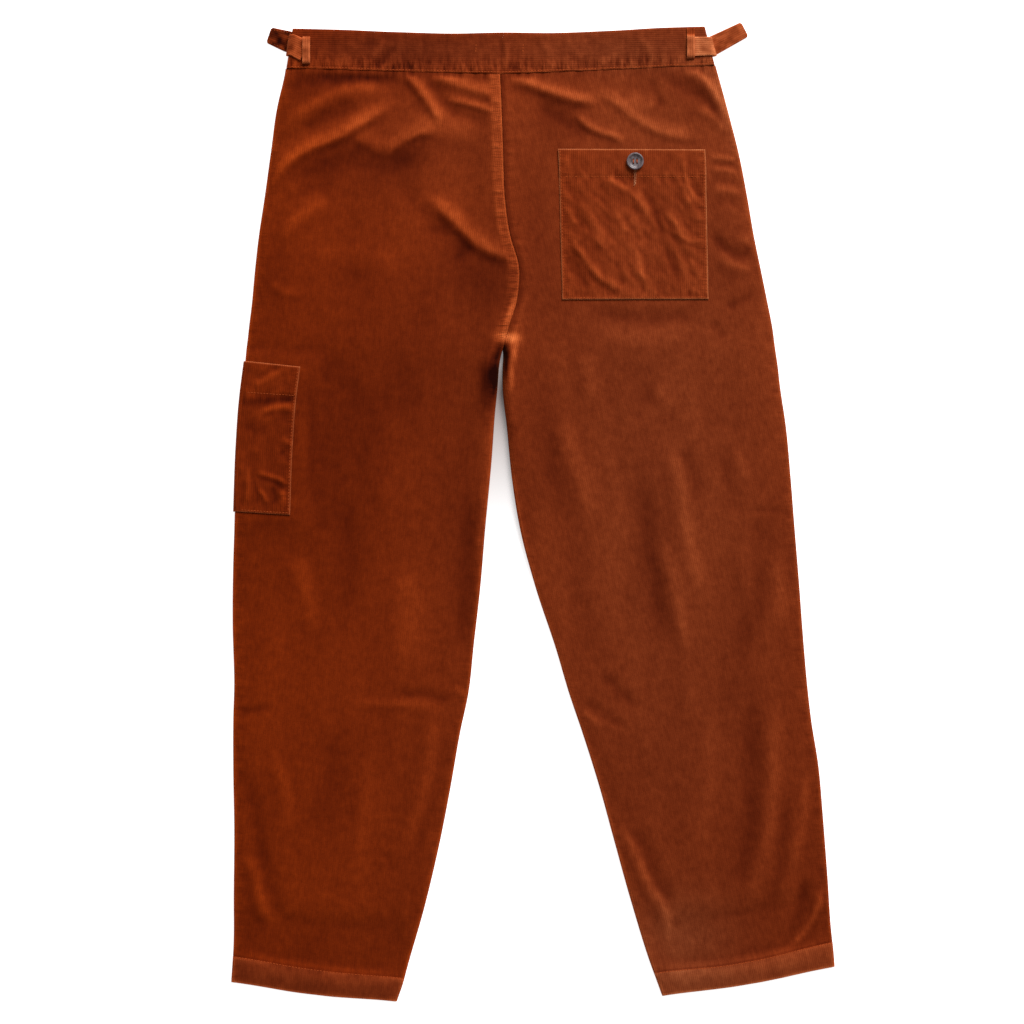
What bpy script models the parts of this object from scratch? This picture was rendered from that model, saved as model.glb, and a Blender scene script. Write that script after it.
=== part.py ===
"""Corduroy trousers with side adjuster straps, laid out flat with the back up.

Metres, +Z up.  The front panels lie on the plane z = 0, the waist is towards +Y, and the
origin is under the middle of the outline.  The sizes and tables below are in millimetres.
"Outer" is the side seam of a leg, and "inner" is the centre seam and then the inseam.
"""

from math import cos, pi, sin

import bmesh
import bpy
import numpy as np
from mathutils import Vector

MM = 0.001
NAME = "flat_laid_corduroy_trousers"

CLOTH_WALL = 1.4
HEM_WALL = 2.2
BAND_WALL = 2.2
POCKET_WALL = 1.6
STRAP_WALL = 1.5
SEAM_GAP = 0.34
WAIST_SEAM_GAP = 0.5
LAY_GAP = 0.3
FRONT_LIP = 1.0
BACK_LIP = 0.5
EDGE_SPARE = 0.2
LEAST_AIR = 0.7

FELLED_WIDTH = 11.5
FELLED_RISE = 1.0
FELLED_STEP = 1.5
RIGHT_SEAM_ROLL = 8.0
LEFT_SEAT_GUIDE = 125.0
UNDER_CROTCH_BACK_Z = 4.6
CROTCH_FRONT_Z = 1.6
CROTCH_SPARE = 1.1
CROTCH_SPARE_REACH = (10.0, 40.0)
FELLED_END = (262.0, 24.0)

# Mesh columns from the side seam: the turned edge, then to the two guide lines (a pocket's
# sides on the right seat) and to the start of the inner edge.
EDGE_COLUMNS = 5
EDGE_LINE = 8.0
COLUMN_COUNTS = {"left": (3, 4, 4), "right": (2, 8, 3)}
ARC_SHARE = 0.29
SEAM_STEP = 1.0
OUTER_REACH = 50.0
INNER_REACH = 45.0
FOLD_FADE = 10.0
FOLD_START = 4.0
FOLD_HEM_GAP = 26.0
FOLD_PIECES = 8
FOLD_TAPER = 0.3

THIGH_POCKET_SHOWN = 58.0
THIGH_POCKET_HIDDEN = 62.0
THIGH_POCKET_RAMP = 30.0
THIGH_POCKET_BEYOND = (2.0, 28.0)
STRAP_STACK = 2 * STRAP_WALL + 2 * LAY_GAP
STRAP_FLAT = 45.0
STRAP_RAMP = 60.0
STRAP_REACH_DOWN = (12.0, 60.0)

BACK_POCKET_HEM = 28.6
BUTTON_CENTRE = (106.0, 364.0)
BUTTON_DIAMETER = 18.0
BUTTON_THICK = 3.4
BUTTON_SIDES = 24
BUTTON_SEAT_REACH = 2.2
BUTTON_HOLES = 4
BUTTON_HOLE = 2.0
BUTTON_HOLE_SIDES = 8
BUTTON_HOLE_RING = 5.4
# Share of the radius and height, from the middle of the top, over the rim, to the underside.
BUTTON_PROFILE = [(0, 1.9), (0.62, 1.9), (0.74, 2.4), (0.86, BUTTON_THICK), (0.96, BUTTON_THICK - 0.3)]
BUTTON_PROFILE += [(1.0, 2.4), (0.98, 1.2), (0.8, 0.2), (0.55, 0), (0, 0)]


def table(columns, rows):
    """The rows as one list of numbers, or of names, for each named column."""
    return dict(zip(columns.split(), (list(values) for values in zip(*rows))))


# Each row joins a point of the left side seam, the centre back seam and the right side
# seam.  "steps" is the number of mesh rows down to the next section.
SEAT = table(
    "name steps left_x left_y seam_x seam_y right_x right_y crown seam_z seam_top pocket_right pocket_left",
    [
        ("waist", 1, -257.2, 460.5, -34.3, 455.2, 189.8, 463.8, 6.2, 6.5, 6.5, 24.0, 168.0),
        ("lip", 2, -257.6, 457.6, -34.2, 452.4, 190.6, 460.9, 6.2, 6.5, 6.5, 24.4, 168.6),
        ("yoke", 4, -266.0, 421.0, -32.8, 423.3, 200.5, 425.5, 6.8, 8.6, 8.6, 28.0, 178.0),
        ("pocket_top", 4, -272.5, 377.0, -31.2, 377.5, 213.5, 376.5, 7.4, 9.4, 9.4, 34.6, 187.5),
        ("hip", 3, -279.8, 324.5, -29.1, 324.5, 223.8, 324.0, 7.0, 9.4, 9.4, 43.5, 196.0),
        ("low_hip", 3, -285.3, 288.0, -23.9, 288.1, 230.0, 287.5, 6.8, 9.6, 9.6, 49.0, 201.5),
        ("bend", 2, -289.3, 253.0, -14.6, 253.8, 237.0, 253.5, 6.8, 10.0, 10.0, 55.2, 207.6),
        ("pocket_end", 2, -292.4, 219.0, -16.6, 220.5, 243.5, 221.4, 7.2, 10.6, 10.6, 61.0, 213.3),
        ("knot", 2, -295.2, 196.0, -26.0, 189.3, 249.5, 190.5, 7.6, 11.6, 12.0, 65.0, 219.0),
        ("crotch", 1, -296.6, 183.5, -31.7, 168.5, 252.5, 168.0, 8.0, 6.0, 12.6, 68.0, 224.0),
    ],
)
LEG_COLUMNS = "name steps outer_x outer_y inner_x inner_y bow crown inner_top roll guide_a guide_b wall"
LEFT_LEG = table(
    LEG_COLUMNS,
    [
        ("slit_top", 1, -297.1, 179.0, -33.4, 162.5, 0, 8.0, 12.8, 13.0, 58, 145, CLOTH_WALL),
        ("slit", 1, -297.9, 173.0, -34.8, 154.5, 0, 7.8, 12.4, 13.0, 58, 145, CLOTH_WALL),
        ("thigh_pocket_top", 2, -299.3, 157.0, -36.8, 129.0, 0, 7.3, 11.0, 12.0, 58, 145, CLOTH_WALL),
        ("thigh_pocket_hem", 2, -303.4, 124.8, -39.2, 106.0, 0, 7.0, 9.4, 10.0, 58, 145, CLOTH_WALL),
        ("thigh", 2, -307.5, 72.0, -43.0, 54.0, 0, 6.8, 7.4, 7.0, 58, 144, CLOTH_WALL),
        ("thigh_pocket_end", 2, -310.2, 0.5, -49.6, -16.6, 0, 6.6, 6.2, 4.0, 58, 142, CLOTH_WALL),
        ("low_thigh", 2, -312.2, -60.0, -54.7, -78.0, 0, 6.4, 5.4, 3.0, 58, 140, CLOTH_WALL),
        ("above_knee", 2, -312.6, -120.0, -61.4, -137.0, 0, 6.2, 5.2, 2.5, 58, 138, CLOTH_WALL),
        ("knee", 2, -311.0, -178.0, -67.2, -189.0, 0, 6.4, 5.6, 2.5, 57, 134, CLOTH_WALL),
        ("below_knee", 2, -312.0, -215.0, -75.5, -228.0, 0, 6.2, 5.4, 2.5, 55, 130, CLOTH_WALL),
        ("upper_calf", 2, -312.0, -270.0, -85.5, -285.0, 0, 6.0, 5.2, 2.5, 52, 124, CLOTH_WALL),
        ("calf", 2, -311.0, -330.0, -97.0, -344.0, 0, 5.8, 5.2, 2.5, 49, 118, CLOTH_WALL),
        ("low_calf", 2, -311.5, -395.0, -112.0, -408.0, 1, 5.7, 5.2, 2.5, 45, 108, CLOTH_WALL),
        ("hem_seam", 1, -312.3, -461.8, -133.5, -484.6, 3, 5.8, 5.4, 2.5, 41, 98, CLOTH_WALL),
        ("hem_lip", 1, -312.4, -463.4, -133.9, -486.2, 3, 6.4, 6.5, 2.8, 41, 98, HEM_WALL),
        ("hem", 0, -314.1, -488.9, -141.6, -509.2, 3, 6.2, 6.5, 2.8, 40, 95, HEM_WALL),
    ],
)
RIGHT_LEG = table(
    LEG_COLUMNS,
    [
        ("slit_top", 1, 253.4, 162.0, -31.0, 162.5, 0, 8.0, 12.6, 9.0, 68, 224, CLOTH_WALL),
        ("slit", 1, 254.6, 154.0, -31.5, 154.5, 0, 7.8, 12.4, 9.0, 69, 225, CLOTH_WALL),
        ("fork", 2, 257.0, 133.0, -31.9, 133.5, 0, 7.4, 11.4, 9.0, 70, 226, CLOTH_WALL),
        ("thigh", 2, 263.5, 88.0, -27.2, 87.0, 0, 7.0, 8.4, 7.0, 70, 226, CLOTH_WALL),
        ("mid_thigh", 2, 268.3, 36.0, -21.8, 33.3, 0, 6.8, 6.4, 4.0, 70, 223, CLOTH_WALL),
        ("low_thigh", 2, 272.3, -15.0, -13.0, -20.0, 0, 6.6, 5.6, 3.0, 69, 218, CLOTH_WALL),
        ("above_knee", 2, 276.8, -70.0, 2.5, -78.0, 0, 6.4, 5.4, 2.5, 67, 210, CLOTH_WALL),
        ("knee", 2, 281.5, -133.0, 24.5, -144.5, 0, 6.2, 5.4, 2.5, 64, 198, CLOTH_WALL),
        ("below_knee", 2, 285.0, -174.0, 37.0, -187.0, 0, 6.2, 5.4, 2.5, 61, 190, CLOTH_WALL),
        ("upper_calf", 2, 289.8, -217.0, 52.5, -233.0, 0, 6.0, 5.2, 2.5, 58, 181, CLOTH_WALL),
        ("mid_calf", 2, 297.2, -264.0, 68.5, -284.0, 0, 5.9, 5.2, 2.5, 56, 174, CLOTH_WALL),
        ("calf", 2, 302.0, -318.0, 84.2, -341.0, 0, 5.8, 5.2, 2.5, 54, 166, CLOTH_WALL),
        ("low_calf", 2, 306.5, -377.0, 102.0, -405.0, 1, 5.8, 5.2, 2.5, 50, 156, CLOTH_WALL),
        ("hem_seam", 1, 311.8, -447.2, 125.6, -479.4, 5, 5.8, 5.4, 2.5, 46, 142, CLOTH_WALL),
        ("hem_lip", 1, 312.0, -448.8, 126.2, -481.0, 5, 6.4, 6.5, 2.8, 46, 142, HEM_WALL),
        ("hem", 0, 314.1, -472.9, 134.4, -503.4, 3, 6.2, 6.5, 2.8, 44, 138, HEM_WALL),
    ],
)

# The largest folds of the upper layer: a curve through three points, its height (a valley
# is negative) and the half width over which it dies away.
FOLDS = table(
    "name x1 y1 x2 y2 x3 y3 height width",
    [
        ("left_seat_ridge", -269, 332, -225, 382, -178, 400, 5.5, 10),
        ("left_seat_notch_in", -182, 398, -163, 384, -149, 366, 4.0, 9),
        ("left_seat_notch_out", -153, 366, -132, 382, -104, 388, 3.5, 9),
        ("left_seat_shelf", -112, 388, -86, 386, -60, 391, 2.5, 10),
        ("left_yoke_ridge", -258, 397, -232, 424, -147, 434, 3.0, 9),
        ("left_yoke_valley", -242, 378, -222, 400, -200, 424, -2.5, 9),
        ("left_seat_hollow", -243, 340, -191, 366, -146, 350, -2.5, 14),
        ("left_seat_drag", -152, 352, -133, 326, -108, 288, -2.2, 10),
        ("left_gather", -122, 449, -113, 437, -102, 420, 3.5, 8),
        ("left_seam_gather", -94, 447, -68, 437, -40, 433, 3.5, 8),
        ("left_seam_hollow", -90, 417, -67, 418, -42, 409, -2.6, 9),
        ("left_seat_diagonal", -102, 322, -73, 297, -33, 271, 5.0, 10),
        ("left_seat_under_diagonal", -98, 300, -72, 273, -42, 252, -2.8, 11),
        ("left_side_pull", -262, 291, -238, 311, -204, 330, 2.0, 10),
        ("right_yoke_ridge", -12, 449, 34, 435, 80, 399, 5.5, 9),
        ("right_yoke_ridge_low", 60, 442, 92, 412, 176, 385, 4.0, 9),
        ("right_yoke_hollow", 10, 430, 42, 406, 62, 382, -2.8, 11),
        ("right_side_ridge", 166, 430, 183, 414, 201, 394, 3.0, 8),
        ("right_side_valley", 134, 452, 167, 437, 198, 412, -2.5, 8),
        ("right_side_crease", 186, 292, 203, 273, 230, 266, -2.5, 9),
        ("under_pocket_hollow", 60, 209, 116, 201, 176, 208, -2.2, 10),
        ("right_inner_valley", 10, 174, 21, 75, 40, -8, -2.8, 12),
        ("right_inner_valley_low", 42, -29, 52, -112, 84, -186, -3.0, 11),
        ("right_inner_ridge", 30, 96, 47, 44, 60, -19, 2.4, 10),
        ("right_thigh_ridge", 134, 96, 154, 12, 183, -90, 3.4, 11),
        ("right_thigh_valley", 110, 44, 123, -40, 148, -149, -3.2, 11),
        ("right_knee_ridge", 127, -34, 146, -88, 165, -149, 2.8, 9),
        ("right_side_long_valley", 230, 12, 238, -66, 213, -154, -3.2, 11),
        ("right_side_bulge", 254, -29, 258, -92, 262, -154, 2.2, 12),
        ("right_knee_crease", 68, -166, 89, -184, 109, -205, -2.8, 8),
        ("right_hem_valley", 97, -322, 119, -362, 148, -415, -3.0, 9),
        ("right_hem_ridge", 84, -312, 114, -374, 142, -431, 3.4, 9),
        ("right_calf_valley", 233, -170, 231, -290, 193, -418, -2.8, 11),
        ("right_calf_ridge", 252, -186, 248, -300, 220, -415, 2.8, 10),
        ("right_calf_side_valley", 266, -278, 258, -358, 232, -436, -2.4, 9),
        ("right_calf_side_ridge", 284, -268, 279, -350, 262, -431, 2.6, 9),
        ("left_thigh_valley", -197, 26, -190, -50, -197, -134, -2.4, 11),
        ("left_side_ridge", -252, -44, -236, -84, -229, -134, 2.4, 11),
        ("left_inner_bulge", -136, -60, -131, -122, -138, -180, 2.2, 20),
        ("left_inner_valley", -64, 33, -69, -50, -75, -154, -2.4, 10),
        ("left_knee_crease", -164, -190, -122, -190, -88, -201, -2.2, 8),
        ("left_knee_ridge", -191, -204, -150, -205, -110, -210, 2.4, 8),
        ("left_calf_valley", -211, -215, -209, -280, -235, -344, -2.4, 11),
        ("left_calf_side_ridge", -273, -250, -259, -298, -253, -347, 2.4, 9),
        ("left_hem_valley", -303, -255, -282, -350, -255, -434, -3.0, 10),
        ("left_hem_ridge", -303, -352, -288, -396, -266, -441, 3.2, 9),
        ("left_inseam_ridge", -106, -209, -113, -284, -140, -368, 2.8, 10),
        ("left_inseam_valley", -91, -222, -101, -292, -124, -366, -2.2, 9),
    ],
)

# The back waistband, from its left end, over the centre seam, to its right end.
BAND_TOP = table(
    "x y",
    [(-249.9, 502.3), (-190, 500.8), (-138, 499.2), (-86, 497.8), (-31.2, 498.8), (23, 498.4)]
    + [(80, 500.6), (141, 503.3), (178.5, 504.4)],
)
BAND_EDGE_INSET = 0.8
BAND_SEAM_X = -31.2
BAND_PROUD = 0.7
BAND_ROUND = 1.2
BAND_COLUMNS = 6
BAND_LEVEL_RUN = 100.0
BAND_LOW_ROW = 2.0
FRONT_BAND_DROP = 5.0
FRONT_BAND_DROP_RUN = 60.0

# A strap runs from its keeper over the back waistband, round the side, under the front
# waistband to a fold, and back out along the surface as a free tail.
STRAPS = table(
    "side start_x start_y edge_y loose turn_x turn_y exit_x exit_y end_x end_y face_width end_width",
    [
        ("left", -232.0, 476.0, 485.0, 1.0, -224.0, 480.5, -255.8, 490.4, -275.2, 497.0, 22.0, 17.0),
        ("right", 161.0, 483.1, 483.6, 3.0, 167.0, 475.0, 188.8, 486.6, 220.7, 503.0, 20.0, 17.0),
    ],
)
STRAP_FACE_SHARES = (0.0, 0.35, 0.7)
STRAP_BEND_STEPS = 8
STRAP_FOLD_STEPS = 4
STRAP_FOLD_BULGE = 1.2
STRAP_UNDER_SHARES = (0.3, 0.65, 1.0)
# Stations of the free tail: the distance before its end, and how far its corners are rounded.
STRAP_TAIL = ((14.0, 0.0), (2.4, 0.0), (0.7, 1.1), (0.0, 2.4))
KEEPER_WIDTH = 8.0
KEEPER_SLOPE = 1.6
KEEPER_CROWN = 0.3
KEEPERS = table(
    "side x top strap_top strap_end end",
    [
        ("left", -235.3, 495.4, 492.2, 468.2, 468.2),
        ("right", 163.8, 502.4, 494.4, 472.2, 469.6),
    ],
)


def ease(share):
    """0 to 1 with level ends."""
    share = np.clip(share, 0.0, 1.0)
    return share * share * (3.0 - 2.0 * share)


def plateau(distance, flat, ramp):
    """1 up to the flat distance, then down to 0 over the ramp."""
    return 1.0 - ease((distance - flat) / ramp)


def smooth(knots, values, at):
    """The values between the knots, on a cubic through each of them."""
    knots, values = np.asarray(knots, float), np.asarray(values, float)
    spans = np.diff(knots)
    rises = np.diff(values) / spans
    slopes = np.concatenate([rises[:1], rises[:1], rises[1:]])
    slopes[1:-1] = (rises[:-1] * spans[1:] + rises[1:] * spans[:-1]) / (spans[1:] + spans[:-1])
    at = np.asarray(at, float)
    piece = np.clip(np.searchsorted(knots, at, side="right") - 1, 0, len(spans) - 1)
    span = spans[piece]
    share = (at - knots[piece]) / span
    rest = 1.0 - share
    return (
        values[piece] * (1 + 2 * share) * rest**2
        + values[piece + 1] * (3 - 2 * share) * share**2
        + span * slopes[piece] * share * rest**2
        - span * slopes[piece + 1] * share**2 * rest
    )


def fold_height(x, y):
    """The sum of the folds at points of the upper layer."""
    share = np.linspace(0.0, 1.0, FOLD_PIECES + 1)
    first, middle, last = (1 - share) * (1 - 2 * share), 4 * share * (1 - share), share * (2 * share - 1)
    total = np.zeros_like(x)
    for number in range(len(FOLDS["name"])):
        fold = {column: values[number] for column, values in FOLDS.items()}
        path_x = fold["x1"] * first + fold["x2"] * middle + fold["x3"] * last
        path_y = fold["y1"] * first + fold["y2"] * middle + fold["y3"] * last
        nearest = np.full_like(x, np.inf)
        along = np.zeros_like(x)
        for piece in range(FOLD_PIECES):
            run_x, run_y = path_x[piece + 1] - path_x[piece], path_y[piece + 1] - path_y[piece]
            off_x, off_y = x - path_x[piece], y - path_y[piece]
            part = np.clip((off_x * run_x + off_y * run_y) / (run_x**2 + run_y**2), 0, 1)
            distance = np.hypot(off_x - part * run_x, off_y - part * run_y)
            along = np.where(distance < nearest, (piece + part) / FOLD_PIECES, along)
            nearest = np.minimum(distance, nearest)
        taper = ease(along / FOLD_TAPER) * ease((1 - along) / FOLD_TAPER)
        total += fold["height"] * taper * np.exp(-((nearest / fold["width"]) ** 2))
    return total


class Leg:
    """The rows of one half of the garment, from the waist seam to the hem."""

    def __init__(self, side, leg):
        left = side == "left"
        self.side = side
        names = SEAT["name"] + leg["name"]
        knots = -np.array(SEAT["seam_y"] + leg["inner_y"])
        steps = SEAT["steps"] + leg["steps"]
        at = [
            start + (end - start) * step / count
            for start, end, count in zip(knots[:-1], knots[1:], steps)
            for step in range(count)
        ]
        at = np.array(at + [knots[-1]])
        self.first_row = dict(zip(names, np.cumsum([0] + steps[:-1])))
        crotch = len(SEAT["name"]) - 1
        seat_count = crotch + 1

        def whole(seat_values, leg_values):
            return smooth(knots, list(seat_values) + list(leg_values), at)

        def split(seat_values, leg_values):
            """The seat's part depends on the seat alone, so that both halves share the centre seam."""
            values = np.array(list(seat_values) + list(leg_values))
            upper = smooth(knots[:seat_count], values[:seat_count], at)
            lower = smooth(knots[crotch:], values[crotch:], at)
            return np.where(at <= knots[crotch], upper, lower)

        def straight(seat_values, leg_values):
            return np.interp(at, knots, list(seat_values) + list(leg_values))

        same = np.ones(seat_count)
        toward = 1.0 if left else -1.0
        outer_x = whole(SEAT[f"{side}_x"], leg["outer_x"])
        outer_y = whole(SEAT[f"{side}_y"], leg["outer_y"])
        inner_x = split(SEAT["seam_x"], leg["inner_x"]) - toward * SEAM_GAP / 2
        inner_y = split(SEAT["seam_y"], leg["inner_y"])
        self.outer = np.stack([outer_x, outer_y], 1)
        self.inner = np.stack([inner_x, inner_y], 1)
        self.width = np.linalg.norm(self.inner - self.outer, axis=1)
        self.bow = straight(0 * same, leg["bow"])
        self.crown = whole(SEAT["crown"], leg["crown"])
        self.wall = straight(CLOTH_WALL * same, leg["wall"])
        self.edge_round = self.wall + EDGE_SPARE
        self.down = at - knots[0]
        self.at = at
        # 0 where the inner edges of the halves are sewn to each other, 1 where a leg's own
        # front and back meet, and half way just under the crotch.
        leg_rows = len(leg["name"])
        self.rolled = straight(0 * same, [0.5] + [1.0] * (leg_rows - 1))
        self.front_edge_z = self.edge_round + FRONT_LIP
        self.back_edge_z = self.front_edge_z + LAY_GAP
        on_leg = self.rolled >= 1
        seam_z = split(SEAT["seam_z"], [UNDER_CROTCH_BACK_Z] * leg_rows)
        below_slit = at - at[self.first_row["slit"]]
        lifted = CROTCH_SPARE * plateau(below_slit, *CROTCH_SPARE_REACH)
        self.inner_z = np.where(on_leg, self.back_edge_z + lifted, seam_z)
        front_z = straight([0.0] * crotch + [CROTCH_FRONT_Z], [CROTCH_FRONT_Z] * leg_rows)
        self.front_inner_z = np.where(on_leg, self.front_edge_z, front_z)
        least_top = self.back_edge_z + BACK_LIP + self.edge_round
        self.inner_top = straight(SEAT["seam_top"], leg["inner_top"])
        self.inner_top = np.where(on_leg, np.maximum(self.inner_top, least_top), self.inner_top)
        seat_roll = FELLED_WIDTH if left else RIGHT_SEAM_ROLL
        self.roll = np.maximum(straight(seat_roll * same, leg["roll"]), self.edge_round)
        self.felled = FELLED_RISE * plateau(self.down, *FELLED_END) if left else 0 * at
        if left:
            self.guide_a = straight(THIGH_POCKET_SHOWN * same, leg["guide_a"])
            self.guide_b = straight(LEFT_SEAT_GUIDE * same, leg["guide_b"])
        else:
            self.guide_a = whole(SEAT["pocket_right"], leg["guide_a"])
            self.guide_b = whole(SEAT["pocket_left"], leg["guide_b"])

    def lift(self, from_outer, rows):
        """How far both layers are held up by the folded strap and the pocket's hidden half."""
        down = self.down[rows]
        over_strap = plateau(from_outer, STRAP_FLAT, STRAP_RAMP) * plateau(down, *STRAP_REACH_DOWN)
        lift = STRAP_STACK * over_strap
        if self.side == "left":
            top = self.at[self.first_row["thigh_pocket_top"]]
            end = self.at[self.first_row["thigh_pocket_end"]]
            beyond = np.maximum(top - self.at[rows], self.at[rows] - end)
            over_pocket = plateau(from_outer, THIGH_POCKET_HIDDEN + 2.0, THIGH_POCKET_RAMP)
            over_pocket = over_pocket * plateau(beyond, *THIGH_POCKET_BEYOND)
            lift = lift + (POCKET_WALL + LAY_GAP) * over_pocket
        return lift

    def plan(self, from_outer, rows):
        """The points of a row on the ground plan, at these distances from its outer end."""
        share = from_outer / self.width[rows]
        run = self.inner[rows] - self.outer[rows]
        points = self.outer[rows] + run * share[..., None]
        points[..., 1] -= self.bow[rows] * ease(2.2 * np.minimum(share, 1 - share))
        return points

    def back_columns(self, rows):
        """Distances from the outer end, and whether the point is the lower one of a seam's edge."""
        width, outer_round, roll = self.width[rows], self.edge_round[rows], self.roll[rows]
        guide_a, guide_b = self.guide_a[rows], self.guide_b[rows]
        inner_start = width - roll - FELLED_STEP
        edge_line = EDGE_LINE + 0 * width
        columns = [0 * width, 0 * width, ARC_SHARE * outer_round, outer_round, edge_line]
        lines = [edge_line, guide_a, guide_b, inner_start]
        for count, start, end in zip(COLUMN_COUNTS[self.side], lines[:-1], lines[1:]):
            columns += [start + (end - start) * step / count for step in range(1, count + 1)]
        near = SEAM_STEP * (1 - self.rolled[rows])
        columns += [width - roll, width - np.maximum(ARC_SHARE * roll, 1.5 * near), width - near, width]
        return np.stack(columns, 1)

    def back(self):
        """The outer face of the back panel, one row of points for each row of the garment."""
        rows = np.arange(len(self.at))
        distance = self.back_columns(rows)
        grid = np.repeat(rows[:, None], distance.shape[1], 1)
        plan = self.plan(distance, grid)
        lift = self.lift(distance, grid)
        edge_round, roll, width = self.edge_round[grid], self.roll[grid], self.width[grid]
        from_inner = width - distance
        edge_z = self.back_edge_z[grid]
        outer_top = edge_z + BACK_LIP + edge_round
        crown, inner_top, rolled = self.crown[grid], self.inner_top[grid], self.rolled[grid]
        near_outer = 1 - np.clip((distance - edge_round) / OUTER_REACH, 0, 1)
        near_inner = 1 - np.clip((from_inner - roll) / INNER_REACH, 0, 1)
        body = crown + (outer_top - crown) * near_outer**2 + (inner_top - crown) * near_inner**2
        down = self.down[grid]
        fade = ease((distance - edge_round) / FOLD_FADE) * ease((from_inner - roll) / FOLD_FADE)
        fade *= ease((down - FOLD_START) / FOLD_FADE)
        fade *= ease((self.down[-1] - FOLD_HEM_GAP - down) / FOLD_FADE)
        body += fade * fold_height(plan[..., 0], plan[..., 1])
        body = np.maximum(body, 2 * self.wall[grid] + LEAST_AIR)
        body += self.felled[grid] * (from_inner <= roll + 0.01)

        share = np.clip(distance / edge_round, 0, 1)
        arc = edge_z + BACK_LIP + edge_round * np.sqrt(1 - (1 - share) ** 2)
        height = np.where(distance < edge_round - 1e-6, arc, body)
        share = np.clip(from_inner / roll, 0, 1)
        rise = (1 - rolled) * ease(share) + rolled * np.sqrt(1 - (1 - share) ** 2)
        start = self.inner_z[grid] + BACK_LIP * rolled + self.felled[grid]
        top = inner_top + self.felled[grid]
        height = np.where(from_inner < roll - 1e-6, start + (top - start) * rise, height)
        height[:, 0] = edge_z[:, 0]
        height[:, -1] = self.inner_z + self.felled
        return np.concatenate([plan, (height + lift)[..., None]], 2)

    def front(self):
        """The outer face of the front panel, which faces down."""
        rows = np.arange(len(self.at))
        width, edge_round, rolled = self.width, self.edge_round, self.rolled
        near = 1.0 - rolled
        ramp_end = THIGH_POCKET_HIDDEN + THIGH_POCKET_RAMP
        columns = [0 * width, 0 * width, edge_round]
        columns += [THIGH_POCKET_HIDDEN + 0 * width, ramp_end + 0 * width]
        columns += [width - edge_round, width - near, width]
        distance = np.stack(columns, 1)
        grid = np.repeat(rows[:, None], distance.shape[1], 1)
        plan = self.plan(distance, grid)
        lift = self.lift(distance, grid)
        height = np.zeros_like(distance)
        height[:, 0] = self.front_edge_z
        height[:, 1] = edge_round
        height[:, -1] = self.front_inner_z
        height[:, -2] = self.front_inner_z - FRONT_LIP * rolled
        height[:, -3] = self.front_inner_z * (1 - rolled)
        return np.concatenate([plan, (height + lift)[..., None]], 2)


def grid_normals(points, up):
    """The unit normals at the points of a grid, on its upper or its lower side."""
    along = np.gradient(points, axis=0)
    across = np.gradient(points, axis=1)
    normals = np.cross(along, across)
    normals /= np.linalg.norm(normals, axis=2, keepdims=True)
    if (normals[..., 2].sum() > 0) != up:
        normals = -normals
    return normals


def material(name, colour, roughness):
    made = bpy.data.materials.new(name)
    made.use_nodes = True
    shader = made.node_tree.nodes["Principled BSDF"]
    shader.inputs["Base Color"].default_value = (*colour, 1.0)
    shader.inputs["Roughness"].default_value = roughness
    made.diffuse_color = (*colour, 1.0)
    return made


def add_object(name, mesh, finish, collection):
    made = bpy.data.objects.new(name, mesh)
    made.data.materials.append(finish)
    collection.objects.link(made)
    return made


def cloth(name, points, walls, up, grow, finish, collection):
    """A cloth wall on a grid of points: it grows inward (-1), outward (+1) or both ways (0)."""
    row_count, column_count = points.shape[:2]
    shape = bmesh.new()
    bmesh.ops.create_grid(shape, x_segments=column_count - 1, y_segments=row_count - 1, size=1.0)
    shape.verts.index_update()
    for vertex, point in zip(shape.verts, points.reshape(-1, 3)):
        vertex.co = point * MM
    shape.normal_update()
    first_half = [
        face
        for face in shape.faces
        if all(vertex.index % column_count <= column_count // 2 for vertex in face.verts)
    ]
    if (sum(face.normal.z * face.calc_area() for face in first_half) > 0) != up:
        bmesh.ops.reverse_faces(shape, faces=shape.faces)
    bmesh.ops.triangulate(shape, faces=shape.faces, quad_method="FIXED")
    mesh = bpy.data.meshes.new(name)
    shape.to_mesh(mesh)
    shape.free()
    mesh.shade_smooth()
    made = add_object(name, mesh, finish, collection)
    walls = np.broadcast_to(walls, (row_count, column_count)).reshape(-1)
    thickest = float(walls.max())
    solid = made.modifiers.new("wall", "SOLIDIFY")
    solid.thickness = thickest * MM
    solid.offset = grow
    solid.use_quality_normals = True
    if walls.min() < thickest:
        group = made.vertex_groups.new(name="wall")
        for index, wall in enumerate(walls):
            group.add([index], float(wall) / thickest, "REPLACE")
        solid.vertex_group = group.name
    return made


def leg_panels(leg, finish, collection):
    back, front = leg.back(), leg.front()
    cloth(f"back_{leg.side}", back, leg.wall[:, None], True, -1, finish, collection)
    cloth(f"front_{leg.side}", front, leg.wall[:, None], False, -1, finish, collection)
    return back, front


def back_pocket(leg, back, finish, collection):
    """The patch pocket on the right seat, on the panel's own points; its top hem is thicker."""
    rows = slice(leg.first_row["pocket_top"], leg.first_row["pocket_end"] + 1)
    first = EDGE_COLUMNS + COLUMN_COUNTS["right"][0] - 1
    columns = slice(first, first + COLUMN_COUNTS["right"][1] + 1)
    below = back[rows, columns]
    points = below + LAY_GAP * grid_normals(back, True)[rows, columns]
    depth = below[:1, :, 1] - below[..., 1]
    walls = np.where(depth < BACK_POCKET_HEM, HEM_WALL, POCKET_WALL)
    cloth("back_pocket", points, walls, True, 1, finish, collection)
    return points[..., :2], points[..., 2] + walls


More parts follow.
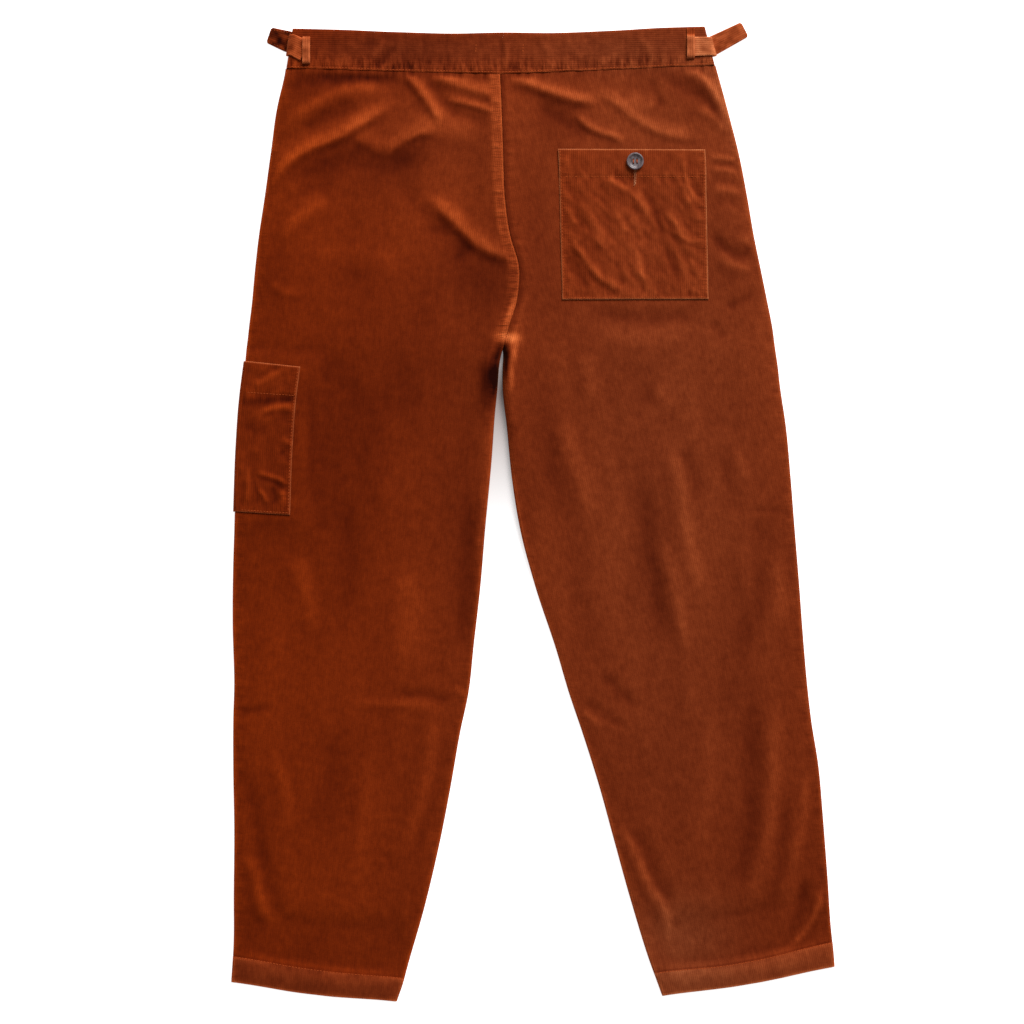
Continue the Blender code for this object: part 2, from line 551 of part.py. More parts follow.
def thigh_pocket(leg, back, front, finish, collection):
    """The pocket that wraps the left side seam, from the back panel round to the front."""
    rows = slice(leg.first_row["thigh_pocket_top"], leg.first_row["thigh_pocket_end"] + 1)
    edge = EDGE_COLUMNS + COLUMN_COUNTS["left"][0] - 1
    shown = (back + LAY_GAP * grid_normals(back, True))[rows, edge:0:-1]
    hidden = (front + LAY_GAP * grid_normals(front, False))[rows, 1:4]
    beside = np.array([-LAY_GAP, 0.0, 0.0])
    shown[:, -1] = back[rows, 1] + beside
    hidden[:, 0] = front[rows, 1] + beside
    points = np.concatenate([shown, hidden], 1)
    cloth("thigh_pocket", points, POCKET_WALL, True, 1, finish, collection)


def band_edge_points(side):
    """The lower and upper ends of a half waistband, at the side and at the centre seam."""
    x_column, y_column = SEAT[f"{side}_x"], SEAT[f"{side}_y"]
    toward = 1.0 if side == "left" else -1.0
    side_low = np.array([x_column[0] + toward * BAND_EDGE_INSET, y_column[0] + WAIST_SEAM_GAP])
    seam_low = np.array([SEAT["seam_x"][0] - toward * SEAM_GAP / 2, SEAT["seam_y"][0] + WAIST_SEAM_GAP])
    end = 0 if side == "left" else -1
    side_high = np.array([BAND_TOP["x"][end], BAND_TOP["y"][end]])
    seam_high = np.array([BAND_SEAM_X - toward * SEAM_GAP / 2, 0.0])
    return side_low, seam_low, side_high, seam_high


def band_points(side, face, drop=0.0):
    """One half of the waistband's back or front wall, in rows from its seam up to its top edge."""
    side_low, seam_low, side_high, seam_high = band_edge_points(side)
    edge_round = BAND_WALL + EDGE_SPARE
    width = abs(seam_low[0] - side_low[0])
    arc = [0.0, 0.0, ARC_SHARE * edge_round] if face == "back" else [0.0, 0.0]
    body = [STRAP_FLAT + (width - STRAP_FLAT) * step / BAND_COLUMNS for step in range(BAND_COLUMNS)]
    distance = np.array(arc + [edge_round, STRAP_FLAT / 3] + body + [width - SEAM_STEP, width])
    share = distance / width
    low = side_low + (seam_low - side_low) * share[:, None]
    high = side_high + (seam_high - side_high) * share[:, None]
    high[:, 1] = smooth(BAND_TOP["x"], BAND_TOP["y"], high[:, 0])
    high[:, 1] -= drop * ease(distance / FRONT_BAND_DROP_RUN)
    lift = STRAP_STACK * plateau(distance, STRAP_FLAT, STRAP_RAMP)
    edge_z = edge_round + FRONT_LIP + LAY_GAP
    if face == "back":
        middle = SEAT["crown"][0] + BAND_PROUD
        top = edge_z + BACK_LIP + edge_round
        height = top + (middle - top) * ease(distance / BAND_LEVEL_RUN)
        height[:3] = edge_z, edge_z + BACK_LIP, edge_z + BACK_LIP + sin(pi / 4) * edge_round
        round_down = -BAND_ROUND
    else:
        height = np.zeros_like(distance)
        height[:2] = edge_round + FRONT_LIP, edge_round
        round_down = BAND_ROUND
    depth = np.linalg.norm(high - low, axis=1)
    rises = [0 * depth, BAND_LOW_ROW + 0 * depth, depth / 2, depth - BAND_ROUND, depth]
    rows = []
    for rise in rises:
        plan = low + (high - low) * (rise / depth)[:, None]
        rows.append(np.concatenate([plan, (height + lift)[:, None]], 1))
    inside = distance >= edge_round
    rows[-1][inside, 2] += round_down
    return np.array(rows)


def waistband(finish, collection):
    for side in ("left", "right"):
        cloth(f"waistband_back_{side}", band_points(side, "back"), BAND_WALL, True, -1, finish, collection)
    left = band_points("left", "front", FRONT_BAND_DROP)
    right = band_points("right", "front", FRONT_BAND_DROP)
    whole = np.concatenate([left[:, :-1], right[:, -2::-1]], 1)
    cloth("waistband_front", whole, BAND_WALL, False, -1, finish, collection)


def band_top_height():
    """The height of the back waistband's outer face where the straps and keepers lie."""
    edge_round = BAND_WALL + EDGE_SPARE
    return STRAP_STACK + 2 * edge_round + FRONT_LIP + LAY_GAP + BACK_LIP


def across(run):
    """The angle, from 0 to 180 degrees, of the width of a strip that runs this way."""
    return (np.degrees(np.arctan2(run[1], run[0])) - 90.0) % 180.0


def ribbon(name, stations, finish, collection):
    """A flat strip through stations of a plan point, height, angle of the width and half width."""
    plan, heights, angles, halves = (np.array(values, float) for values in zip(*stations))
    angles = np.radians(angles)
    centres = np.concatenate([plan, heights[:, None]], 1)
    reach = np.stack([np.cos(angles), np.sin(angles), 0 * angles], 1) * halves[:, None]
    points = np.stack([centres - reach, centres, centres + reach], 1)
    facing = np.cross(points[1, 1] - points[0, 1], points[0, 2] - points[0, 1])
    return cloth(name, points, STRAP_WALL, bool(facing[2] > 0), 0, finish, collection)


def strap(number, finish, collection):
    row = {column: values[number] for column, values in STRAPS.items()}
    side = row["side"]
    out = -1.0 if side == "left" else 1.0
    side_low, _, side_high, _ = band_edge_points(side)
    edge_run = side_high - side_low
    edge_angle = np.degrees(np.arctan2(edge_run[1], edge_run[0]))
    edge_x = side_low[0] + edge_run[0] * (row["edge_y"] - side_low[1]) / edge_run[1]
    edge_round = BAND_WALL + EDGE_SPARE
    half = STRAP_WALL / 2
    face_z = band_top_height() + LAY_GAP + half
    upper_z, lower_z = STRAP_WALL + LAY_GAP + half, half
    face_half, end_half = row["face_width"] / 2, row["end_width"] / 2

    start = np.array([row["start_x"], row["start_y"]])
    bend = np.array([edge_x - out * edge_round, row["edge_y"]])
    turn = np.array([row["turn_x"], row["turn_y"]])
    leave = np.array([row["exit_x"], row["exit_y"]])
    end = np.array([row["end_x"], row["end_y"]])

    stations = []
    face_angle = across(bend - start)
    for share in STRAP_FACE_SHARES:
        angle = face_angle + (edge_angle - face_angle) * share
        stations.append((start + (bend - start) * share, face_z, angle, face_half))
    bulge = edge_round + LAY_GAP + half + row["loose"]
    middle_z, high = (face_z + upper_z) / 2, (face_z - upper_z) / 2
    for step in range(STRAP_BEND_STEPS + 1):
        turned = pi * step / STRAP_BEND_STEPS
        point = bend + np.array([out * bulge * sin(turned), 0.0])
        stations.append((point, middle_z + high * cos(turned), edge_angle, face_half))
    under_angle = across(turn - bend)
    stations.append(((bend + turn) / 2, upper_z, (edge_angle + under_angle) / 2, face_half))
    tail_angle = across(leave - turn)
    fold = (upper_z - lower_z) / 2
    for step in range(STRAP_FOLD_STEPS + 1):
        turned = pi * step / STRAP_FOLD_STEPS
        point = turn - np.array([out * STRAP_FOLD_BULGE * fold * sin(turned), 0.0])
        height = lower_z + fold + fold * cos(turned)
        stations.append((point, height, (under_angle + tail_angle) / 2, face_half))
    for share in STRAP_UNDER_SHARES:
        stations.append((turn + (leave - turn) * share, lower_z, tail_angle, face_half))
    length = np.linalg.norm(end - leave)
    for before_end, corner in STRAP_TAIL:
        share = 1 - before_end / length
        width = face_half + (end_half - face_half) * share - corner
        stations.append((leave + (end - leave) * share, lower_z, across(end - leave), width))
    ribbon(f"strap_{side}", stations, finish, collection)


def keeper(number, finish, collection):
    """A narrow loop over the strap, sewn to the waistband above it and sometimes below it."""
    row = {column: values[number] for column, values in KEEPERS.items()}
    low = band_top_height() + LAY_GAP + STRAP_WALL / 2
    high = low + STRAP_WALL + LAY_GAP
    path = [(row["top"], low), (row["strap_top"] + KEEPER_SLOPE, low), (row["strap_top"], high)]
    path += [((row["strap_top"] + row["strap_end"]) / 2, high + KEEPER_CROWN), (row["strap_end"], high)]
    if row["end"] < row["strap_end"]:
        path += [(row["strap_end"] - KEEPER_SLOPE, low), (row["end"], low)]
    stations = [((row["x"], y), z, 0.0, KEEPER_WIDTH / 2) for y, z in path]
    ribbon(f"keeper_{row['side']}", stations, finish, collection)


def button(pocket_plan, pocket_top, finish, collection, cutters):
    """A four-hole button with a raised rim, turned about its axis, on the pocket's hem."""
    radius = BUTTON_DIAMETER / 2
    near = np.hypot(pocket_plan[..., 0] - BUTTON_CENTRE[0], pocket_plan[..., 1] - BUTTON_CENTRE[1])
    seat = float(pocket_top[near < BUTTON_SEAT_REACH * radius].max()) + LAY_GAP
    place = Vector((*BUTTON_CENTRE, seat))
    mesh = bpy.data.meshes.new("button")
    points = [(share * radius * MM, 0, height * MM) for share, height in BUTTON_PROFILE]
    mesh.from_pydata(points, [(index, index + 1) for index in range(len(points) - 1)], [])
    made = add_object("button", mesh, finish, collection)
    made.location = place * MM
    turned = made.modifiers.new("turned", "SCREW")
    turned.steps = turned.render_steps = BUTTON_SIDES
    turned.use_merge_vertices = True
    turned.merge_threshold = 0.00001
    turned.use_smooth_shade = True
    for number in range(BUTTON_HOLES):
        angle = pi / 4 + 2 * pi * number / BUTTON_HOLES
        hole_place = place + Vector((cos(angle), sin(angle), 0)) * BUTTON_HOLE_RING / 2
        bpy.ops.mesh.primitive_cylinder_add(
            vertices=BUTTON_HOLE_SIDES,
            radius=BUTTON_HOLE / 2 * MM,
            depth=BUTTON_DIAMETER * MM,
            location=hole_place * MM,
        )
        cutter = bpy.context.object
        cutter.name = f"button_hole_{number + 1}"
        cutter.hide_render = True
        cutter.display_type = "WIRE"
        for holder in list(cutter.users_collection):
            holder.objects.unlink(cutter)
        cutters.objects.link(cutter)
        hole = made.modifiers.new(cutter.name, "BOOLEAN")
        hole.operation = "DIFFERENCE"
        hole.object = cutter
    return made


def main():
    for old in list(bpy.data.objects):
        bpy.data.objects.remove(old, do_unlink=True)
    collection = bpy.data.collections.new(NAME)
    cutters = bpy.data.collections.new("cutters")
    for made in (collection, cutters):
        bpy.context.scene.collection.children.link(made)
    corduroy = material("rust_corduroy", (0.19, 0.033, 0.008), 0.9)
    strap_cloth = material("rust_corduroy_strap", (0.26, 0.06, 0.02), 0.9)
    horn = material("brown_grey_button", (0.12, 0.085, 0.08), 0.45)

    left, right = Leg("left", LEFT_LEG), Leg("right", RIGHT_LEG)
    left_back, left_front = leg_panels(left, corduroy, collection)
    right_back, _ = leg_panels(right, corduroy, collection)
    pocket_plan, pocket_top = back_pocket(right, right_back, corduroy, collection)
    thigh_pocket(left, left_back, left_front, corduroy, collection)
    waistband(corduroy, collection)
    for number in range(2):
        strap(number, strap_cloth, collection)
        keeper(number, strap_cloth, collection)
    button(pocket_plan, pocket_top, horn, collection, cutters)


main()
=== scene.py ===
"""The looks of rust corduroy trousers that lie flat with the back up.

Sizes are in millimetres until a mesh is made.  +X is to the right with the back up, +Y is
towards the waist and +Z is up.  The garment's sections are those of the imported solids, and
the shells here add the finer folds, the puckers along the seams, the ribs and the stitches.
"""

from math import cos, pi, radians, sin
from types import SimpleNamespace

import bpy
import numpy as np
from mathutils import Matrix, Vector


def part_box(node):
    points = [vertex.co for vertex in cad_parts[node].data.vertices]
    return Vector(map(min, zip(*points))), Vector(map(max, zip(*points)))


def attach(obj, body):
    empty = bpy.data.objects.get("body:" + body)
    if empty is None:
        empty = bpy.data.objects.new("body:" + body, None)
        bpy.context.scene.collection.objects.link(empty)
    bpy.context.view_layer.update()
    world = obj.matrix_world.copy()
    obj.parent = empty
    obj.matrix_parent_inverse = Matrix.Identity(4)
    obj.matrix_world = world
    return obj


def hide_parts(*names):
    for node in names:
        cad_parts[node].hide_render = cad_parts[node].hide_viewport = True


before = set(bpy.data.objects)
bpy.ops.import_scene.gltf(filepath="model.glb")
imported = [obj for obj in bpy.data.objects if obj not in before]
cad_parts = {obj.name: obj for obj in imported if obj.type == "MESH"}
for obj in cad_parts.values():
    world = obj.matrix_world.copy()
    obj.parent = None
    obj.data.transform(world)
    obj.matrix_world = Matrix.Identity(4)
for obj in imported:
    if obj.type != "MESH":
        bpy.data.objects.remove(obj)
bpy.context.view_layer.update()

MM = 0.001

# The garment's sizes.  Most are those of its solids, but the gaps at the seams are narrower,
# the felled strip is flatter, the button's holes are smaller, and the least rise of a pocket
# and the lap of a seam are new.
CLOTH_WALL = 1.4
HEM_WALL = 2.2
BAND_WALL = 2.2
POCKET_WALL = 1.6
POCKET_LEAST = 0.5
STRAP_WALL = 1.5
SEAM_GAP = 0.04
SEAM_LAP = 0.1
WAIST_SEAM_GAP = 0.3
LAY_GAP = 0.3
FRONT_LIP = 1.0
BACK_LIP = 0.5
EDGE_SPARE = 0.2
LEAST_AIR = 0.7
FELLED_WIDTH = 11.5
FELLED_RISE = 0.6
FELLED_END = (262.0, 24.0)
RIGHT_SEAM_ROLL = 8.0
UNDER_CROTCH_BACK_Z = 4.6
CROTCH_FRONT_Z = 1.6
CROTCH_SPARE = 1.1
CROTCH_SPARE_REACH = (10.0, 40.0)
OUTER_REACH = 50.0
INNER_REACH = 45.0
THIGH_POCKET_SHOWN = 58.0
THIGH_POCKET_HIDDEN = 62.0
THIGH_POCKET_RAMP = 30.0
THIGH_POCKET_BEYOND = (2.0, 28.0)
STRAP_STACK = 2 * STRAP_WALL + 2 * LAY_GAP
STRAP_FLAT = 45.0
STRAP_RAMP = 60.0
STRAP_REACH_DOWN = (12.0, 60.0)
BACK_POCKET_HEM = 28.6
BUTTON_CENTRE = (106.0, 364.0)
BUTTON_DIAMETER = 18.0
BUTTON_THICK = 3.4
BUTTON_HOLES = 4
BUTTON_HOLE_RADIUS = 0.95
BUTTON_HOLE_RING = 2.7
BUTTONHOLE_TOP = 358.0
BUTTONHOLE_LENGTH = 17.0
BUTTONHOLE_PITCH = 0.62
BAND_EDGE_INSET = 0.8
BAND_SEAM_X = -31.2
BAND_PROUD = 0.7
BAND_ROUND = 1.2
BAND_LEVEL_RUN = 100.0
FRONT_BAND_DROP = 5.0
FRONT_BAND_DROP_RUN = 60.0
KEEPER_WIDTH = 8.0
BACK_POCKET_HEIGHT = 157
BACK_POCKET_WIDTH = 152
BACK_POCKET_END = {"right": 68.0, "left": 224.0}
THIGH_POCKET_HEIGHT = 146
BAND_DEPTH = 43
CROSS_SEAM_FADE = 12.0
STRAP_STITCH_INSET = 2.4
STRAP_STITCH_LEAST_Z = 0.35
THIGH_POCKET_CLOTH_X = -300.0

# How finely the shells are made, and how thick their cloth is.
SEAT_STEP = 2.0
LEG_STEP = 3.2
BODY_COLUMNS = 96
FRONT_STEP = 6.0
BAND_STEP = 2.0
POCKET_STEP = 1.9
BACK_POCKET_GRID = (82, 78)
STRAP_STEP = 1.2
SHELL_WALL = 1.0
BAND_SHELL_WALL = 1.8

# How much painted highlight lies along turned edges, where they catch the light, over what width, and how
# much painted light and painted sheen lie on the hems (more on the right, nearer the light) and along the
# pockets' edges.
EDGE_HIGHLIGHT = 0.75
RIM_REACH = 2.6
HEM_TONE = {"left": -0.02, "right": 0.27}
HEM_PAINTED_SHEEN = {"left": 0.7, "right": 0.6}
POCKET_EDGE_HIGHLIGHT = {"tone": 1.15, "painted_sheen": 1.7, "reach": 0.95}


def table(columns, rows):
    """The rows as one list of numbers, or of names, for each named column."""
    return dict(zip(columns.split(), (list(values) for values in zip(*rows))))


SEAT_COLUMNS = "name left_x left_y seam_x seam_y right_x right_y crown seam_z seam_top"
SEAT_COLUMNS += " pocket_right pocket_left"
SEAT = table(SEAT_COLUMNS, [
    ("waist", -257.2, 460.5, -34.3, 455.2, 189.8, 463.8, 6.2, 6.5, 6.5, 24.0, 168.0),
    ("lip", -257.6, 457.6, -34.2, 452.4, 190.6, 460.9, 6.2, 6.5, 6.5, 24.4, 168.6),
    ("yoke", -266.0, 421.0, -32.8, 423.3, 200.5, 425.5, 6.8, 8.6, 8.6, 28.0, 178.0),
    ("pocket_top", -272.5, 377.0, -31.2, 377.5, 213.5, 376.5, 7.4, 9.4, 9.4, 34.6, 187.5),
    ("hip", -279.8, 324.5, -29.1, 324.5, 223.8, 324.0, 7.0, 9.4, 9.4, 43.5, 196.0),
    ("low_hip", -285.3, 288.0, -23.9, 288.1, 230.0, 287.5, 6.8, 9.6, 9.6, 49.0, 201.5),
    ("bend", -289.3, 253.0, -14.6, 253.8, 237.0, 253.5, 6.8, 10.0, 10.0, 55.2, 207.6),
    ("pocket_end", -292.4, 219.0, -16.6, 220.5, 243.5, 221.4, 7.2, 10.6, 10.6, 61.0, 213.3),
    ("knot", -295.2, 196.0, -26.0, 189.3, 249.5, 190.5, 7.6, 11.6, 12.0, 65.0, 219.0),
    ("crotch", -296.6, 183.5, -31.7, 168.5, 252.5, 168.0, 8.0, 6.0, 12.6, 68.0, 224.0),
])
LEG_COLUMNS = "name outer_x outer_y inner_x inner_y bow crown inner_top roll"
LEFT_LEG = table(LEG_COLUMNS, [
    ("slit_top", -297.1, 179.0, -33.4, 162.5, 0, 8.0, 12.8, 13.0),
    ("slit", -297.9, 173.0, -34.8, 154.5, 0, 7.8, 12.4, 13.0),
    ("thigh_pocket_top", -299.3, 157.0, -36.8, 129.0, 0, 7.3, 11.0, 12.0),
    ("thigh_pocket_hem", -303.4, 124.8, -39.2, 106.0, 0, 7.0, 9.4, 10.0),
    ("thigh", -307.5, 72.0, -43.0, 54.0, 0, 6.8, 7.4, 7.0),
    ("thigh_pocket_end", -310.2, 0.5, -49.6, -16.6, 0, 6.6, 6.2, 4.0),
    ("low_thigh", -312.2, -60.0, -54.7, -78.0, 0, 6.4, 5.4, 3.0),
    ("above_knee", -312.6, -120.0, -61.4, -137.0, 0, 6.2, 5.2, 2.5),
    ("knee", -311.0, -178.0, -67.2, -189.0, 0, 6.4, 5.6, 2.5),
    ("below_knee", -312.0, -215.0, -75.5, -228.0, 0, 6.2, 5.4, 2.5),
    ("upper_calf", -312.0, -270.0, -85.5, -285.0, 0, 6.0, 5.2, 2.5),
    ("calf", -311.0, -330.0, -97.0, -344.0, 0, 5.8, 5.2, 2.5),
    ("low_calf", -311.5, -395.0, -112.0, -408.0, 1, 5.7, 5.2, 2.5),
    ("hem_seam", -312.3, -461.8, -133.5, -484.6, 3, 5.8, 5.4, 2.5),
    ("hem_lip", -312.4, -463.4, -133.9, -486.2, 3, 6.4, 6.5, 2.8),
    ("hem", -314.1, -488.9, -141.6, -509.2, 3, 6.2, 6.5, 2.8),
])
RIGHT_LEG = table(LEG_COLUMNS, [
    ("slit_top", 253.4, 162.0, -31.0, 162.5, 0, 8.0, 12.6, 9.0),
    ("slit", 254.6, 154.0, -31.5, 154.5, 0, 7.8, 12.4, 9.0),
    ("fork", 257.0, 133.0, -31.9, 133.5, 0, 7.4, 11.4, 9.0),
    ("thigh", 263.5, 88.0, -27.2, 87.0, 0, 7.0, 8.4, 7.0),
    ("mid_thigh", 268.3, 36.0, -21.8, 33.3, 0, 6.8, 6.4, 4.0),
    ("low_thigh", 272.3, -15.0, -13.0, -20.0, 0, 6.6, 5.6, 3.0),
    ("above_knee", 276.8, -70.0, 2.5, -78.0, 0, 6.4, 5.4, 2.5),
    ("knee", 281.5, -133.0, 24.5, -144.5, 0, 6.2, 5.4, 2.5),
    ("below_knee", 285.0, -174.0, 37.0, -187.0, 0, 6.2, 5.4, 2.5),
    ("upper_calf", 289.8, -217.0, 52.5, -233.0, 0, 6.0, 5.2, 2.5),
    ("mid_calf", 297.2, -264.0, 68.5, -284.0, 0, 5.9, 5.2, 2.5),
    ("calf", 302.0, -318.0, 84.2, -341.0, 0, 5.8, 5.2, 2.5),
    ("low_calf", 306.5, -377.0, 102.0, -405.0, 1, 5.8, 5.2, 2.5),
    ("hem_seam", 311.8, -447.2, 125.6, -479.4, 5, 5.8, 5.4, 2.5),
    ("hem_lip", 312.0, -448.8, 126.2, -481.0, 5, 6.4, 6.5, 2.8),
    ("hem", 314.1, -472.9, 134.4, -503.4, 3, 6.2, 6.5, 2.8),
])

